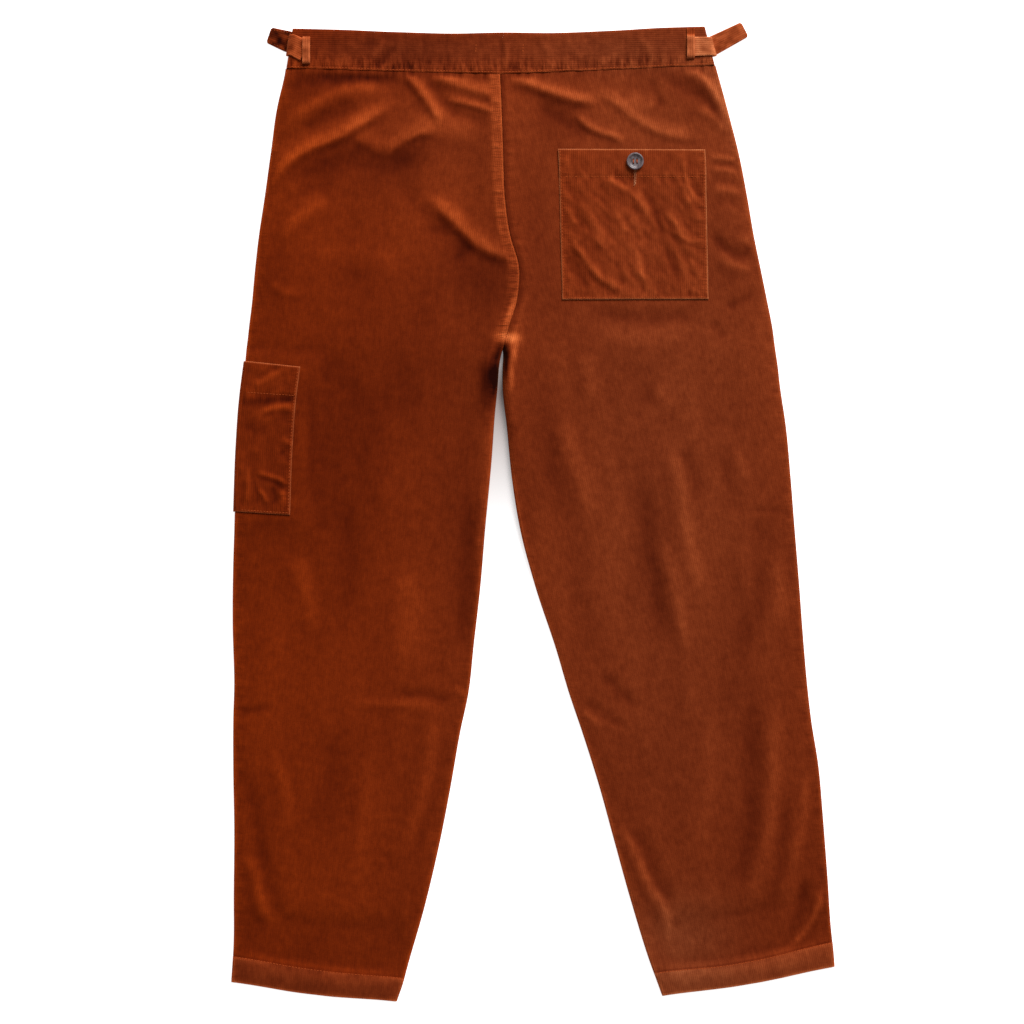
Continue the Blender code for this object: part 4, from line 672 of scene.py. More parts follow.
def rumple(x, y, seed):
    """The soft unevenness of cloth that lies loose, in long streaks down the garment."""
    bend = 9.0 * noise(x / 60.0, y / 60.0, seed + 3)
    broad = 0.55 * noise((x + bend) / 34.0, y / 105.0, seed)
    middle = 0.30 * noise((x + bend) / 14.0, y / 48.0, seed + 1)
    return broad + middle + 0.09 * noise(x / 6.0, y / 13.0, seed + 2)


class Leg:
    """One half of the garment, from the waist seam (at = knots[0]) to the hem."""

    def __init__(self, side, leg):
        self.side = side
        self.left = side == "left"
        self.leg = leg
        self.knots = -np.array(SEAT["seam_y"] + leg["inner_y"])
        self.knot = dict(zip(SEAT["name"] + leg["name"], self.knots))
        self.seat_count = len(SEAT["name"])

    def whole(self, seat_values, leg_values, at):
        """A value down the garment, smooth through the rows of the seat and of the leg."""
        return smooth(self.knots, list(seat_values) + list(leg_values), at)

    def split(self, seat_values, leg_values, at):
        """The same, but smooth in the seat and in the leg apart, so it may turn at the crotch."""
        values = np.array(list(seat_values) + list(leg_values))
        upper = smooth(self.knots[: self.seat_count], values[: self.seat_count], at)
        lower = smooth(self.knots[self.seat_count - 1 :], values[self.seat_count - 1 :], at)
        return np.where(at <= self.knots[self.seat_count - 1], upper, lower)

    def straight(self, seat_values, leg_values, at):
        """The same, but straight from row to row."""
        return np.interp(at, self.knots, list(seat_values) + list(leg_values))

    def section(self, at):
        """Everything that a row of the panels needs, at these places down the garment."""
        at = np.asarray(at, float)
        leg, leg_rows = self.leg, len(self.leg["name"])
        zero, s = [0.0] * self.seat_count, SimpleNamespace(at=at)
        toward = 1.0 if self.left else -1.0
        s.outer_x = self.whole(SEAT[f"{self.side}_x"], leg["outer_x"], at)
        s.outer_y = self.whole(SEAT[f"{self.side}_y"], leg["outer_y"], at)
        s.inner_x = self.split(SEAT["seam_x"], leg["inner_x"], at) - toward * SEAM_GAP / 2
        s.inner_y = self.split(SEAT["seam_y"], leg["inner_y"], at)
        s.width = np.hypot(s.inner_x - s.outer_x, s.inner_y - s.outer_y)
        s.bow = self.straight(zero, leg["bow"], at)
        s.crown = self.whole(SEAT["crown"], leg["crown"], at)
        walls = [HEM_WALL if name in ("hem_lip", "hem") else CLOTH_WALL for name in leg["name"]]
        s.wall = self.straight([CLOTH_WALL] * self.seat_count, walls, at)
        s.edge_round = s.wall + EDGE_SPARE
        s.down = at - self.knots[0]
        s.rolled = self.straight(zero, [0.5] + [1.0] * (leg_rows - 1), at)
        s.front_edge_z = s.edge_round + FRONT_LIP
        s.back_edge_z = s.front_edge_z + LAY_GAP
        lifted = CROTCH_SPARE * plateau(at - self.knot["slit"], *CROTCH_SPARE_REACH)
        seam_z = self.split(SEAT["seam_z"], [UNDER_CROTCH_BACK_Z] * leg_rows, at)
        s.inner_z = s.rolled * (s.back_edge_z + lifted) + (1 - s.rolled) * seam_z
        seat_front_z = [0.0] * (self.seat_count - 1) + [CROTCH_FRONT_Z]
        front_z = self.straight(seat_front_z, [CROTCH_FRONT_Z] * leg_rows, at)
        s.front_inner_z = s.rolled * s.front_edge_z + (1 - s.rolled) * front_z
        inner_top = self.straight(SEAT["seam_top"], leg["inner_top"], at)
        least_top = s.rolled * (s.back_edge_z + BACK_LIP + s.edge_round)
        s.inner_top = np.maximum(inner_top, least_top)
        seat_roll = FELLED_WIDTH if self.left else RIGHT_SEAM_ROLL
        s.roll = np.maximum(self.straight([seat_roll] * self.seat_count, leg["roll"], at), s.edge_round)
        s.felled = FELLED_RISE * plateau(s.down, *FELLED_END) if self.left else 0.0 * at
        s.pocket_right = self.whole(SEAT["pocket_right"], [BACK_POCKET_END["right"]] * leg_rows, at)
        s.pocket_left = self.whole(SEAT["pocket_left"], [BACK_POCKET_END["left"]] * leg_rows, at)
        return s

    def lift(self, s, distance):
        """How far both layers are held up by the folded strap and the pocket's hidden half."""
        lift = STRAP_STACK * plateau(distance, STRAP_FLAT, STRAP_RAMP) * plateau(s.down, *STRAP_REACH_DOWN)
        if self.left:
            beyond = np.maximum(self.knot["thigh_pocket_top"] - s.at, s.at - self.knot["thigh_pocket_end"])
            over = plateau(distance, THIGH_POCKET_HIDDEN + 2.0, THIGH_POCKET_RAMP)
            lift = lift + (POCKET_WALL + LAY_GAP) * over * plateau(beyond, *THIGH_POCKET_BEYOND)
        return lift

    def plan(self, s, distance):
        """The ground plan of places down the garment, at distances from its side seam."""
        share = distance / s.width
        x = s.outer_x + (s.inner_x - s.outer_x) * share
        y = s.outer_y + (s.inner_y - s.outer_y) * share
        return x, y - s.bow * ease(2.2 * np.minimum(share, 1 - share))

    def puckers(self, s, x, distance):
        """The ripples along the waist seam, the centre seam, the side seams and the hem's stitches."""
        from_inner, seed = s.width - distance, 40 if self.left else 50
        waist = 0.6 * pucker(x, s.down - 3.0, 10.0, 8.0, seed)
        hem = 0.25 * pucker(x, s.at - self.knot["hem_seam"] - 9.0, 8.5, 15.0, seed + 1)
        sides = 0.35 * pucker(s.at, distance - 6.0, 14.0, 7.0, seed + 2)
        seat = ease((self.knot["crotch"] - s.at) / CROSS_SEAM_FADE)
        centre = seat * (0.42 if self.left else 0.35) * pucker(s.at, from_inner - 6.0, 7.0, 6.5, seed + 3)
        inseam = (1 - seat) * 0.3 * pucker(s.at, from_inner - 5.0, 16.0, 7.0, seed + 4)
        pockets = 0.0 * x
        if self.left:
            beside = distance - THIGH_POCKET_SHOWN - 3.0
            level = (s.at > self.knot["thigh_pocket_top"] - 6) & (s.at < self.knot["thigh_pocket_end"] + 6)
            pockets = level * 0.3 * pucker(s.at, beside, 12.0, 5.0, seed + 5)
        return waist + hem + sides + centre + inseam + pockets

    def fade(self, s, distance):
        """How much of the folds is left near the panel's borders."""
        sides = ease((distance - s.edge_round) / 6.0) * ease((s.width - distance - s.roll + 4.0) / 8.0)
        return sides * ease((s.down - 1.0) / 6.0) * ease((self.knots[-1] - 26.0 - s.at) / 8.0)

    def seams(self, s, distance):
        """How near the cloth is to rows of stitches that run across, and to rows that run lengthwise."""
        from_inner = s.width - distance
        pleat = bell(s.down - 2.0, 8.0)
        pleat = pleat + 0.35 * bell(s.at - self.knot["hem_seam"], 9.0)
        seat = ease((self.knot["crotch"] - s.at) / CROSS_SEAM_FADE)
        gather = seat * (1.6 if self.left else 0.35) * bell(from_inner - 5.5, 6.0)
        gather = gather + (1 - seat) * 0.4 * bell(from_inner - 4.0, 6.0)
        return pleat + 0 * distance, gather + 0.45 * bell(distance - 5.0, 7.0)

    def back(self, s, distance):
        """The outer face of the back panel at these places down and distances from the side seam."""
        x, y = self.plan(s, distance)
        from_inner = s.width - distance
        outer_top = s.back_edge_z + BACK_LIP + s.edge_round
        near_outer = 1 - np.clip((distance - s.edge_round) / OUTER_REACH, 0, 1)
        near_inner = 1 - np.clip((from_inner - s.roll) / INNER_REACH, 0, 1)
        body = s.crown + (outer_top - s.crown) * near_outer**2 + (s.inner_top - s.crown) * near_inner**2
        body = body + self.fade(s, distance) * fold_height(x, y, FOLDS)
        body = np.maximum(body, 2 * s.wall + LEAST_AIR)
        inside = ease((distance - 1.0) / 4.0) * ease((from_inner - 1.0) / 4.0)
        ripple = inside * self.puckers(s, x, distance)
        body = body + inside * rumple(x, y, 11) + ripple
        strip = s.felled * plateau(from_inner, s.roll - 3.0, 6.0)
        body = body + strip

        arc = s.back_edge_z + BACK_LIP + s.edge_round * turned_edge(distance, s.edge_round)
        height = np.where(distance < s.edge_round, arc + 0 * body, body)
        rise = (1 - s.rolled) * ease(from_inner / s.roll) + s.rolled * turned_edge(from_inner, s.roll)
        start = s.inner_z + BACK_LIP * s.rolled + s.felled
        top = s.inner_top + s.felled
        height = np.where(from_inner < s.roll, start + (top - start) * rise + ripple, height)
        return np.stack([x, y, height + self.lift(s, distance)], -1)

    def back_grid(self):
        """Rows of points of the back panel, with the turned edges of both sides, and their layers."""
        seat = np.arange(self.knots[0], self.knot["crotch"], SEAT_STEP)
        leg = np.arange(self.knot["crotch"], self.knots[-1] - 1.0, LEG_STEP)
        hem_seam, end = self.knot["hem_seam"], self.knots[-1]
        extra = [hem_seam - 2.2, hem_seam - 1.2, hem_seam - 0.5, hem_seam, self.knot["hem_lip"]]
        at = np.concatenate([seat, leg, extra, [end - 2.4, end - 1.2, end - 0.5, end]])
        at = np.unique(at)
        s = self.section(at[:, None])
        turned = 1 - np.cos(np.linspace(0.0, pi / 2, 7))
        even = np.linspace(0.0, 1.0, 7)
        outer = s.edge_round * turned
        inner = s.width - s.roll * (s.rolled * turned + (1 - s.rolled) * even)[:, ::-1]
        first, last = outer[:, -1:], inner[:, :1] - 1.2
        body = first + (last - first) * np.linspace(0, 1, BODY_COLUMNS)[None, 1:]
        distance = np.concatenate([outer, body, inner], 1)
        points = self.back(s, distance)
        below = points[:, :1].copy()
        below[..., 2] = s.back_edge_z + self.lift(s, 0 * s.at)
        under = moved(points[:, -1:], -(BACK_LIP * s.rolled + 0.3))
        layers = self.back_layers(s, points, distance)
        layers = {key: np.concatenate([each[:, :1], each, each[:, -1:]], 1) for key, each in layers.items()}
        return np.concatenate([below, points, under], 1), layers

    def back_layers(self, s, points, distance):
        """The painted light and shade with the pile's tone, the painted sheen, and how near the cloth is to
        stitches that gather it.
        """
        from_inner = s.width - distance
        x, y = points[..., 0], points[..., 1]
        # Painted highlights and shade of the folds, the patches, the crests and hollows; a painted highlight
        # along the turned edges and the hem's end; a painted shade line in the hem seam's groove, and an
        # uneven painted highlight on the raised cloth just below it.
        shine = fold_shine(x, y, FOLDS) * (1 + 0.3 * noise(x / 9.0, y / 5.0, 97))
        tone = tone_at(x, y) + crest_highlight_hollow_shade(points[..., 2]) + self.fade(s, distance) * shine
        tone = tone + EDGE_HIGHLIGHT * bell(distance, RIM_REACH)
        tone = tone + EDGE_HIGHLIGHT * s.rolled * bell(from_inner, RIM_REACH)
        hemmed, to_end = ease((s.at - self.knot["hem_seam"]) / 1.5), self.knots[-1] - s.at
        tone = tone + HEM_TONE[self.side] * hemmed + bell(to_end, 1.8)
        from_seam = s.at - self.knot["hem_seam"]
        tone = tone - 0.14 * bell(from_seam + 0.6, 1.3)
        uneven_highlight = ease(0.3 + 1.4 * noise(x / 26.0, 0 * x, 95))
        tone = tone + 0.40 * uneven_highlight * bell(from_seam - 2.0, 1.2)
        painted_sheen = tone_at(x, y, PAINTED_SHEEN_PATCHES) + HEM_PAINTED_SHEEN[self.side] * (hemmed + bell(to_end, 1.3))
        # On the left, a painted highlight along the felled strip's raised right edge, and the strip made
        # lighter; on the right, painted shade where the panel turns down into the centre seam.
        if self.left:
            tone = tone + 0.6 * (1 - s.rolled) * bell(from_inner, 1.8)
            strip = plateau(s.down, 185.0, 40.0) * plateau(from_inner, s.roll - 2.0, 4.0)
            tone = tone + 0.42 * strip + 0.05 * (s.felled / FELLED_RISE)
        else:
            tone = tone - 0.35 * (1 - s.rolled) * bell(from_inner, 4.5)
        pleat, gather = self.seams(s, distance)
        return {"tone": tone, "painted_sheen": painted_sheen, "pleat": pleat, "gather": gather}

    def front_grid(self):
        """Rows of points of the front panel's outer face, which faces down."""
        count = int((self.knots[-1] - self.knots[0]) / FRONT_STEP)
        s = self.section(np.linspace(self.knots[0], self.knots[-1], count)[:, None])
        quarter = np.linspace(0.0, pi / 2, 5)
        outer = s.edge_round * (1 - np.cos(quarter))
        inner = s.width - s.edge_round * (1 - np.cos(quarter[::-1]))
        middle = outer[:, -1:] + (inner[:, :1] - outer[:, -1:]) * np.linspace(0, 1, 44)[None, 1:-1]
        distance = np.concatenate([outer, middle, inner], 1)
        x, y = self.plan(s, distance)
        from_inner = s.width - distance
        turned = s.edge_round * (1 - turned_edge(from_inner, s.edge_round))
        height = s.edge_round * (1 - turned_edge(distance, s.edge_round)) + s.rolled * turned
        height = height + (1 - s.rolled) * s.front_inner_z * plateau(from_inner, 1.0, 30.0)
        fade = ease((distance - 12) / 12) * ease((from_inner - 12) / 12) * ease((s.down - 8) / 20)
        fade = fade * ease((self.knots[-1] - 40.0 - s.at) / 20.0)
        height = height + fade * np.maximum(fold_height(x, y, FRONT_FOLDS), 0)
        points = np.stack([x, y, height + self.lift(s, distance)], -1)
        above = moved(points[:, :1], FRONT_LIP)
        toward = 1.0 if self.left else -1.0
        over = moved(points[:, -1:], 0.3 + FRONT_LIP * s.rolled, toward * SEAM_LAP * (1 - s.rolled))
        return np.concatenate([above, points, over], 1), {}


def cloth_uv(x, y, grain):
    """Ground plan to cloth, in metres: the second coordinate runs along the ribs."""
    turn = radians(grain)
    across = x * cos(turn) - y * sin(turn)
    along = x * sin(turn) + y * cos(turn)
    return np.stack([across * MM, along * MM], -1)


def add_layers(mesh, layers):
    for key, values in layers.items():
        layer = mesh.attributes.new(key, "FLOAT", "POINT")
        layer.data.foreach_set("value", np.asarray(values, np.float32).reshape(-1))


def grid_mesh(name, points, uv, layers, up):
    """A mesh on a grid of points, with its cloth coordinates and its layers of values."""
    row_count, column_count = points.shape[:2]
    index = np.arange(row_count * column_count).reshape(row_count, column_count)
    corners = np.stack([index[:-1, :-1], index[:-1, 1:], index[1:, 1:], index[1:, :-1]], -1).reshape(-1, 4)
    middle = points[:, : column_count // 2 + 1]
    turn = np.cross(middle[1:, :-1] - middle[:-1, :-1], middle[:-1, 1:] - middle[:-1, :-1])
    if (turn[..., 2].sum() < 0) != up:
        corners = corners[:, ::-1]
    mesh = bpy.data.meshes.new(name)
    mesh.from_pydata((points.reshape(-1, 3) * MM).tolist(), [], corners.tolist())
    layer = mesh.uv_layers.new(name="cloth")
    layer.data.foreach_set("uv", uv.reshape(-1, 2)[corners.reshape(-1)].astype(np.float32).ravel())
    add_layers(mesh, layers)
    mesh.update()
    uses = np.zeros(len(mesh.edges), int)
    edge_of_loop = np.empty(len(mesh.loops), np.int32)
    mesh.loops.foreach_get("edge_index", edge_of_loop)
    np.add.at(uses, edge_of_loop, 1)
    mesh.shade_smooth()
    sharp = mesh.attributes.get("sharp_edge") or mesh.attributes.new("sharp_edge", "BOOLEAN", "EDGE")
    sharp.data.foreach_set("value", uses == 1)
    return mesh


def add_piece(name, mesh, node=None):
    """The mesh as a piece of the one body, which may stand for a node of the solids."""
    made = bpy.data.objects.new(name, mesh)
    bpy.context.scene.collection.objects.link(made)
    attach(made, "root")
    if node:
        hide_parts(node)
    return made


def shell(name, points, uv, layers, up, wall, finish, node):
    """A thin shell of cloth that stands for a node of the solids."""
    mesh = grid_mesh(name, points, uv, layers, up)
    mesh.materials.append(finish)
    made = add_piece(name, mesh, node)
    solid = made.modifiers.new("wall", "SOLIDIFY")
    solid.thickness = wall * MM
    solid.offset = -1


class Net:
    """Adds the nodes of one material."""

    def __init__(self, name):
        self.material = bpy.data.materials.new(name)
        self.material.use_nodes = True
        self.tree = self.material.node_tree
        self.shader = self.tree.nodes["Principled BSDF"]

    def put(self, socket, value):
        if isinstance(value, bpy.types.NodeSocket):
            self.tree.links.new(value, socket)
        else:
            socket.default_value = value

    def node(self, kind, inputs=None, **settings):
        made = self.tree.nodes.new(kind)
        for key, value in settings.items():
            setattr(made, key, value)
        for key, value in (inputs or {}).items():
            self.put(made.inputs[key], value)
        return made

    def math(self, operation, *values):
        inputs = dict(enumerate(values))
        return self.node("ShaderNodeMath", inputs, operation=operation).outputs[0]

    def noise(self, vector, scale, detail=2.0, roughness=0.5):
        inputs = {"Vector": vector, "Scale": scale, "Detail": detail, "Roughness": roughness}
        return self.node("ShaderNodeTexNoise", inputs).outputs["Fac"]

    def range(self, value, low, high, to_low, to_high):
        inputs = {"Value": value, "From Min": low, "From Max": high, "To Min": to_low, "To Max": to_high}
        return self.node("ShaderNodeMapRange", inputs).outputs["Result"]

    def tint(self, colour, gain, green_power=1.0, blue_power=1.0):
        """The colour, multiplied by a value that can bear more on its green and its blue."""
        green, blue = (self.math("POWER", gain, power) for power in (green_power, blue_power))
        grey = self.node("ShaderNodeCombineColor", {"Red": gain, "Green": green, "Blue": blue}).outputs[0]
        return self.mix(1.0, colour, grey, blend_type="MULTIPLY")

    def mix(self, factor, first, second, **settings):
        inputs = {"Factor": factor, 6: first, 7: second}
        return self.node("ShaderNodeMix", inputs, data_type="RGBA", **settings).outputs[2]

    def place(self):
        return self.node("ShaderNodeTexCoord").outputs["Object"]

    def scaled(self, vector, scale, location=(0.0, 0.0, 0.0)):
        inputs = {"Vector": vector, "Location": location, "Scale": scale}
        return self.node("ShaderNodeMapping", inputs).outputs[0]

    def bump(self, height):
        inputs = {"Height": height, "Distance": 1.0, "Strength": 1.0}
        return self.node("ShaderNodeBump", inputs).outputs["Normal"]

    def finish(self, inputs):
        """The material, with these inputs of its shader."""
        for key, value in inputs.items():
            self.put(self.shader.inputs[key], value)
        return self.material


def corduroy(name, colour, rib_least, rib_most, depth, rib_glow):
    """Ribs of cut pile along the cloth's second coordinate, brushed unevenly, with painted light, shade and
    sheen from the layers, the ribs showing more where the painted highlights are.
    """
    net = Net(name)
    uv = net.node("ShaderNodeUVMap", uv_map="cloth").outputs["UV"]
    parts = net.node("ShaderNodeSeparateXYZ", {"Vector": uv})
    across, along = parts.outputs["X"], parts.outputs["Y"]
    lengthwise = net.math("MULTIPLY", along, 0.3)
    long_grain = net.node("ShaderNodeCombineXYZ", {"X": across, "Y": lengthwise}).outputs[0]

    drift = net.math("MULTIPLY", net.noise(long_grain, 60.0), 1.2 * MM)
    phase = net.math("MULTIPLY", net.math("ADD", across, drift), pi / RIB_PITCH)
    rib = net.math("POWER", net.math("ABSOLUTE", net.math("SINE", phase)), 0.7)

    tuft = net.noise(uv, 1300.0, 2.0, 0.6)
    streak = net.noise(long_grain, 330.0, 3.0, 0.6)
    mottle = net.noise(uv, 95.0, 3.0, 0.6)
    brushed = net.noise(long_grain, 19.0, 3.0, 0.55)
    layer = {}
    for key in ("tone", "painted_sheen", "pleat", "gather"):
        layer[key] = net.node("ShaderNodeAttribute", attribute_name=key).outputs["Fac"]

    place, ripples = net.place(), []
    for key, scale, fineness in (("pleat", (1.0, 0.22, 0.2), 230.0), ("gather", (0.22, 1.0, 0.2), 270.0)):
        waves = net.noise(net.scaled(place, scale), fineness, 2.0, 0.6)
        ripples.append(net.math("MULTIPLY", net.range(waves, 0.3, 0.7, -1.0, 1.0), layer[key]))
    ripple = net.math("ADD", *ripples)

    # The tone layer carries painted light and shade; the puckers along the seams are painted lighter and
    # darker as well as bumped.
    gain = net.math("ADD", 1.0, layer["tone"])
    gain = net.math("ADD", gain, net.math("MULTIPLY", ripple, 0.20))
    gain = net.math("MAXIMUM", gain, 0.07)
    for value, least, most in (
        (brushed, 0.87, 1.14),
        (mottle, 0.88, 1.13),
        (streak, 0.88, 1.13),
        (tuft, 0.82, 1.19),
    ):
        gain = net.math("MULTIPLY", gain, net.range(value, 0.3, 0.7, least, most))
    # The ribs show more where the painted highlights are.
    lit = net.range(layer["tone"], 0.0, 0.6, 1.0, rib_glow)
    ribbing = net.math("MULTIPLY", net.range(rib, 0.0, 1.0, rib_least - 1.0, rib_most - 1.0), lit)
    gain = net.math("MULTIPLY", gain, net.math("ADD", 1.0, ribbing))
    plain = net.tint(colour, gain, 1.25, 1.6)
    # Painted sheen: a paler colour added by its layer, more where the cloth is lighter.
    paler = net.math("MULTIPLY", layer["painted_sheen"], net.math("POWER", gain, 1.6))
    with_painted_sheen = net.mix(paler, plain, PAINTED_SHEEN_COLOUR, blend_type="ADD", clamp_factor=False)

    height = net.math("MULTIPLY", rib, depth)
    for value, relief in ((tuft, 0.10), (streak, 0.12), (mottle, 0.30), (ripple, 0.18)):
        height = net.math("ADD", height, net.math("MULTIPLY", value, relief * MM))
    sheen = {"Sheen Weight": 0.22, "Sheen Roughness": 0.38, "Sheen Tint": (1.0, 0.32, 0.10, 1.0)}
    looks = {"Base Color": with_painted_sheen, "Normal": net.bump(height), "Roughness": 0.85, "Specular IOR Level": 0.04}
    return net.finish({**looks, **sheen})


def thread_material(name, colour):
    """Twisted thread, dull and a little uneven."""
    net = Net(name)
    twist = net.noise(net.place(), 2600.0, 1.0)
    tinted = net.tint(colour, net.range(twist, 0.3, 0.7, 0.75, 1.2))
    normal = net.bump(net.math("MULTIPLY", twist, 0.12 * MM))
    return net.finish({"Base Color": tinted, "Normal": normal, "Roughness": 0.9, "Specular IOR Level": 0.05})


def button_material():
    """Mottled dark horn, with a satin gloss."""
    net = Net("horn")
    place = net.place()
    cloud = net.noise(net.scaled(place, (1.0, 0.35, 1.0)), 420.0, 4.0, 0.6)
    mottled = net.mix(net.range(cloud, 0.35, 0.65, 0.0, 1.0), HORN_DARK, HORN_PALE)
    normal = net.bump(net.math("MULTIPLY", net.noise(place, 3000.0, 2.0), 0.02 * MM))
    gloss = net.range(cloud, 0.3, 0.7, 0.30, 0.45)
    return net.finish({"Base Color": mottled, "Normal": normal, "Roughness": gloss})


def panels(leg, finish):
    """Both panels of one half."""
    for face, up in (("back", True), ("front", False)):
        node = f"{face}_{leg.side}"
        points, layers = leg.back_grid() if up else leg.front_grid()
        uv = cloth_uv(points[..., 0], points[..., 1], GRAIN[leg.side])
        shell(f"cloth_{node}", points, uv, layers, up, SHELL_WALL, finish, node)


def border_drop(offsets, reach, depth):
    """How far a patch's surface sinks towards its cut edges."""
    return depth * (1 - turned_edge(np.minimum.reduce(offsets), reach))


def back_pocket_point(leg, rise, aside):
    """The pocket's outer face: rise is the share down from its top, aside the share from its right side."""
    top, end = leg.knot["pocket_top"], leg.knot["pocket_end"]
    at = top + (end - top) * rise
    s = leg.section(at)
    distance = s.pocket_right + (s.pocket_left - s.pocket_right) * aside
    points = leg.back(s, distance)
    depth, width = (end - top) * rise, (s.pocket_left - s.pocket_right)
    offsets = [depth, (end - top) - depth, aside * width, (1 - aside) * width]
    hem = plateau(depth, BACK_POCKET_HEM - 1.0, 2.0)
    wall = POCKET_WALL + (HEM_WALL - POCKET_WALL) * hem
    x, y = points[..., 0], points[..., 1]
    inside = ease(np.minimum.reduce(offsets) / 6.0)
    lower = ease((depth - BACK_POCKET_HEM + 4) / 6)
    wrinkle = inside * 1.7 * fold_height(x, y, POCKET_FOLDS) * (0.4 + 0.6 * lower)
    aslant, downward = 0.8 * x + 0.6 * y, 0.6 * x - 0.8 * y
    crumple = 0.75 * noise(aslant / 7.0, downward / 20.0, 71) + 0.40 * noise(aslant / 3.6, downward / 9.0, 76)
    wrinkle = wrinkle + inside * crumple * (0.5 + 0.5 * lower)
    stitch = 0.35 * pucker(x, depth - BACK_POCKET_HEM, 9.0, 9.0, 72)
    stitch = stitch + 0.35 * pucker(x, offsets[1] - 3.0, 8.0, 8.0, 73)
    stitch = stitch + 0.25 * pucker(y, offsets[2] - 3.0, 10.0, 7.0, 74)
    stitch = stitch + 0.25 * pucker(y, offsets[3] - 3.0, 10.0, 7.0, 75)
    groove = -0.22 * bell(depth - BACK_POCKET_HEM, 1.6)
    rise = LAY_GAP + wall - 0.4 + wrinkle + inside * stitch + groove - border_drop(offsets, 1.4, 0.6)
    points[..., 2] += np.maximum(rise, POCKET_LEAST)
    return points


def thigh_pocket_point(leg, rise, aside):
    """The pocket round the side seam: aside is 0 at its inner side and 0.5 at the seam."""
    top, end = leg.knot["thigh_pocket_top"], leg.knot["thigh_pocket_end"]
    at = top + (end - top) * rise
    s = leg.section(at)
    depth = (end - top) * rise
    hem = leg.knot["thigh_pocket_hem"] - top
    wall = POCKET_WALL + 0.5 * plateau(depth, hem - 1.0, 2.0)
    shown = THIGH_POCKET_SHOWN * (1 - 2 * aside)
    points = leg.back(s, np.maximum(shown, 0.0))
    x, y = points[..., 0], points[..., 1]
    offsets = [depth, (end - top) - depth, THIGH_POCKET_SHOWN * 2 * aside]
    inside = ease(np.minimum.reduce(offsets) / 6.0)
    streak = fold_height(x, y, THIGH_POCKET_FOLDS) + 0.42 * noise(x / 7.0, y / 9.0, 82)
    streak = streak + 0.3 * pucker(x, depth - hem, 9.0, 9.0, 83)
    streak = streak - 0.3 * bell(depth - hem, 1.3)
    points[..., 2] += LAY_GAP + wall - 0.4 + inside * streak - border_drop(offsets, 1.4, 0.6)
    return points, s


def back_pocket(leg, finish):
    """The patch pocket on the seat, with closer rows at its edges."""
    rise = np.linspace(0, 1, BACK_POCKET_GRID[0])[:, None]
    edge = np.array([0.0, 0.002, 0.005, 0.009])
    aside = np.concatenate([edge, np.linspace(0.016, 0.984, BACK_POCKET_GRID[1]), 1 - edge[::-1]])[None, :]
    rise = np.concatenate([[[0.0], [0.0025], [0.006]], rise[1:-1], [[0.994], [0.9975], [1.0]]])
    points = back_pocket_point(leg, rise + 0 * aside, aside + 0 * rise)
    uv = cloth_uv(points[..., 0], points[..., 1], GRAIN["back_pocket"])
    from_side = BACK_POCKET_WIDTH * np.minimum(aside, 1 - aside)
    nearest = np.minimum(BACK_POCKET_HEIGHT * np.minimum(rise, 1 - rise), from_side)
    x, y = points[..., 0], points[..., 1]
    inside = ease(nearest / 6.0)
    # Painted highlight along the pocket's edges and on its hem fold, painted highlights and shade of its
    # crests, hollows and wrinkles, and painted sheen along the edges.
    rim = bell(nearest, POCKET_EDGE_HIGHLIGHT["reach"])
    tone = 0.15 + 1.5 * crest_highlight_hollow_shade(points[..., 2]) + POCKET_EDGE_HIGHLIGHT["tone"] * rim
    tone = tone + inside * 1.4 * fold_shine(x, y, POCKET_FOLDS)
    from_hem, from_end = BACK_POCKET_HEIGHT * rise - BACK_POCKET_HEM, BACK_POCKET_HEIGHT * (1 - rise)
    tone = tone + 0.30 * bell(from_hem - 0.4, 0.9)
    pleat = 1.1 * bell(from_hem, 11.0) + 1.2 * bell(from_end - 5.0, 8.0)
    gather = 0.9 * bell(from_side - 4.0, 6.0)
    layers = {"tone": tone, "painted_sheen": tone_at(x, y, PAINTED_SHEEN_PATCHES) - 0.3 + POCKET_EDGE_HIGHLIGHT["painted_sheen"] * rim}
    layers.update(pleat=pleat + 0 * tone, gather=gather + 0 * tone)
    shell("cloth_back_pocket", points, uv, layers, True, SHELL_WALL, finish, "back_pocket")


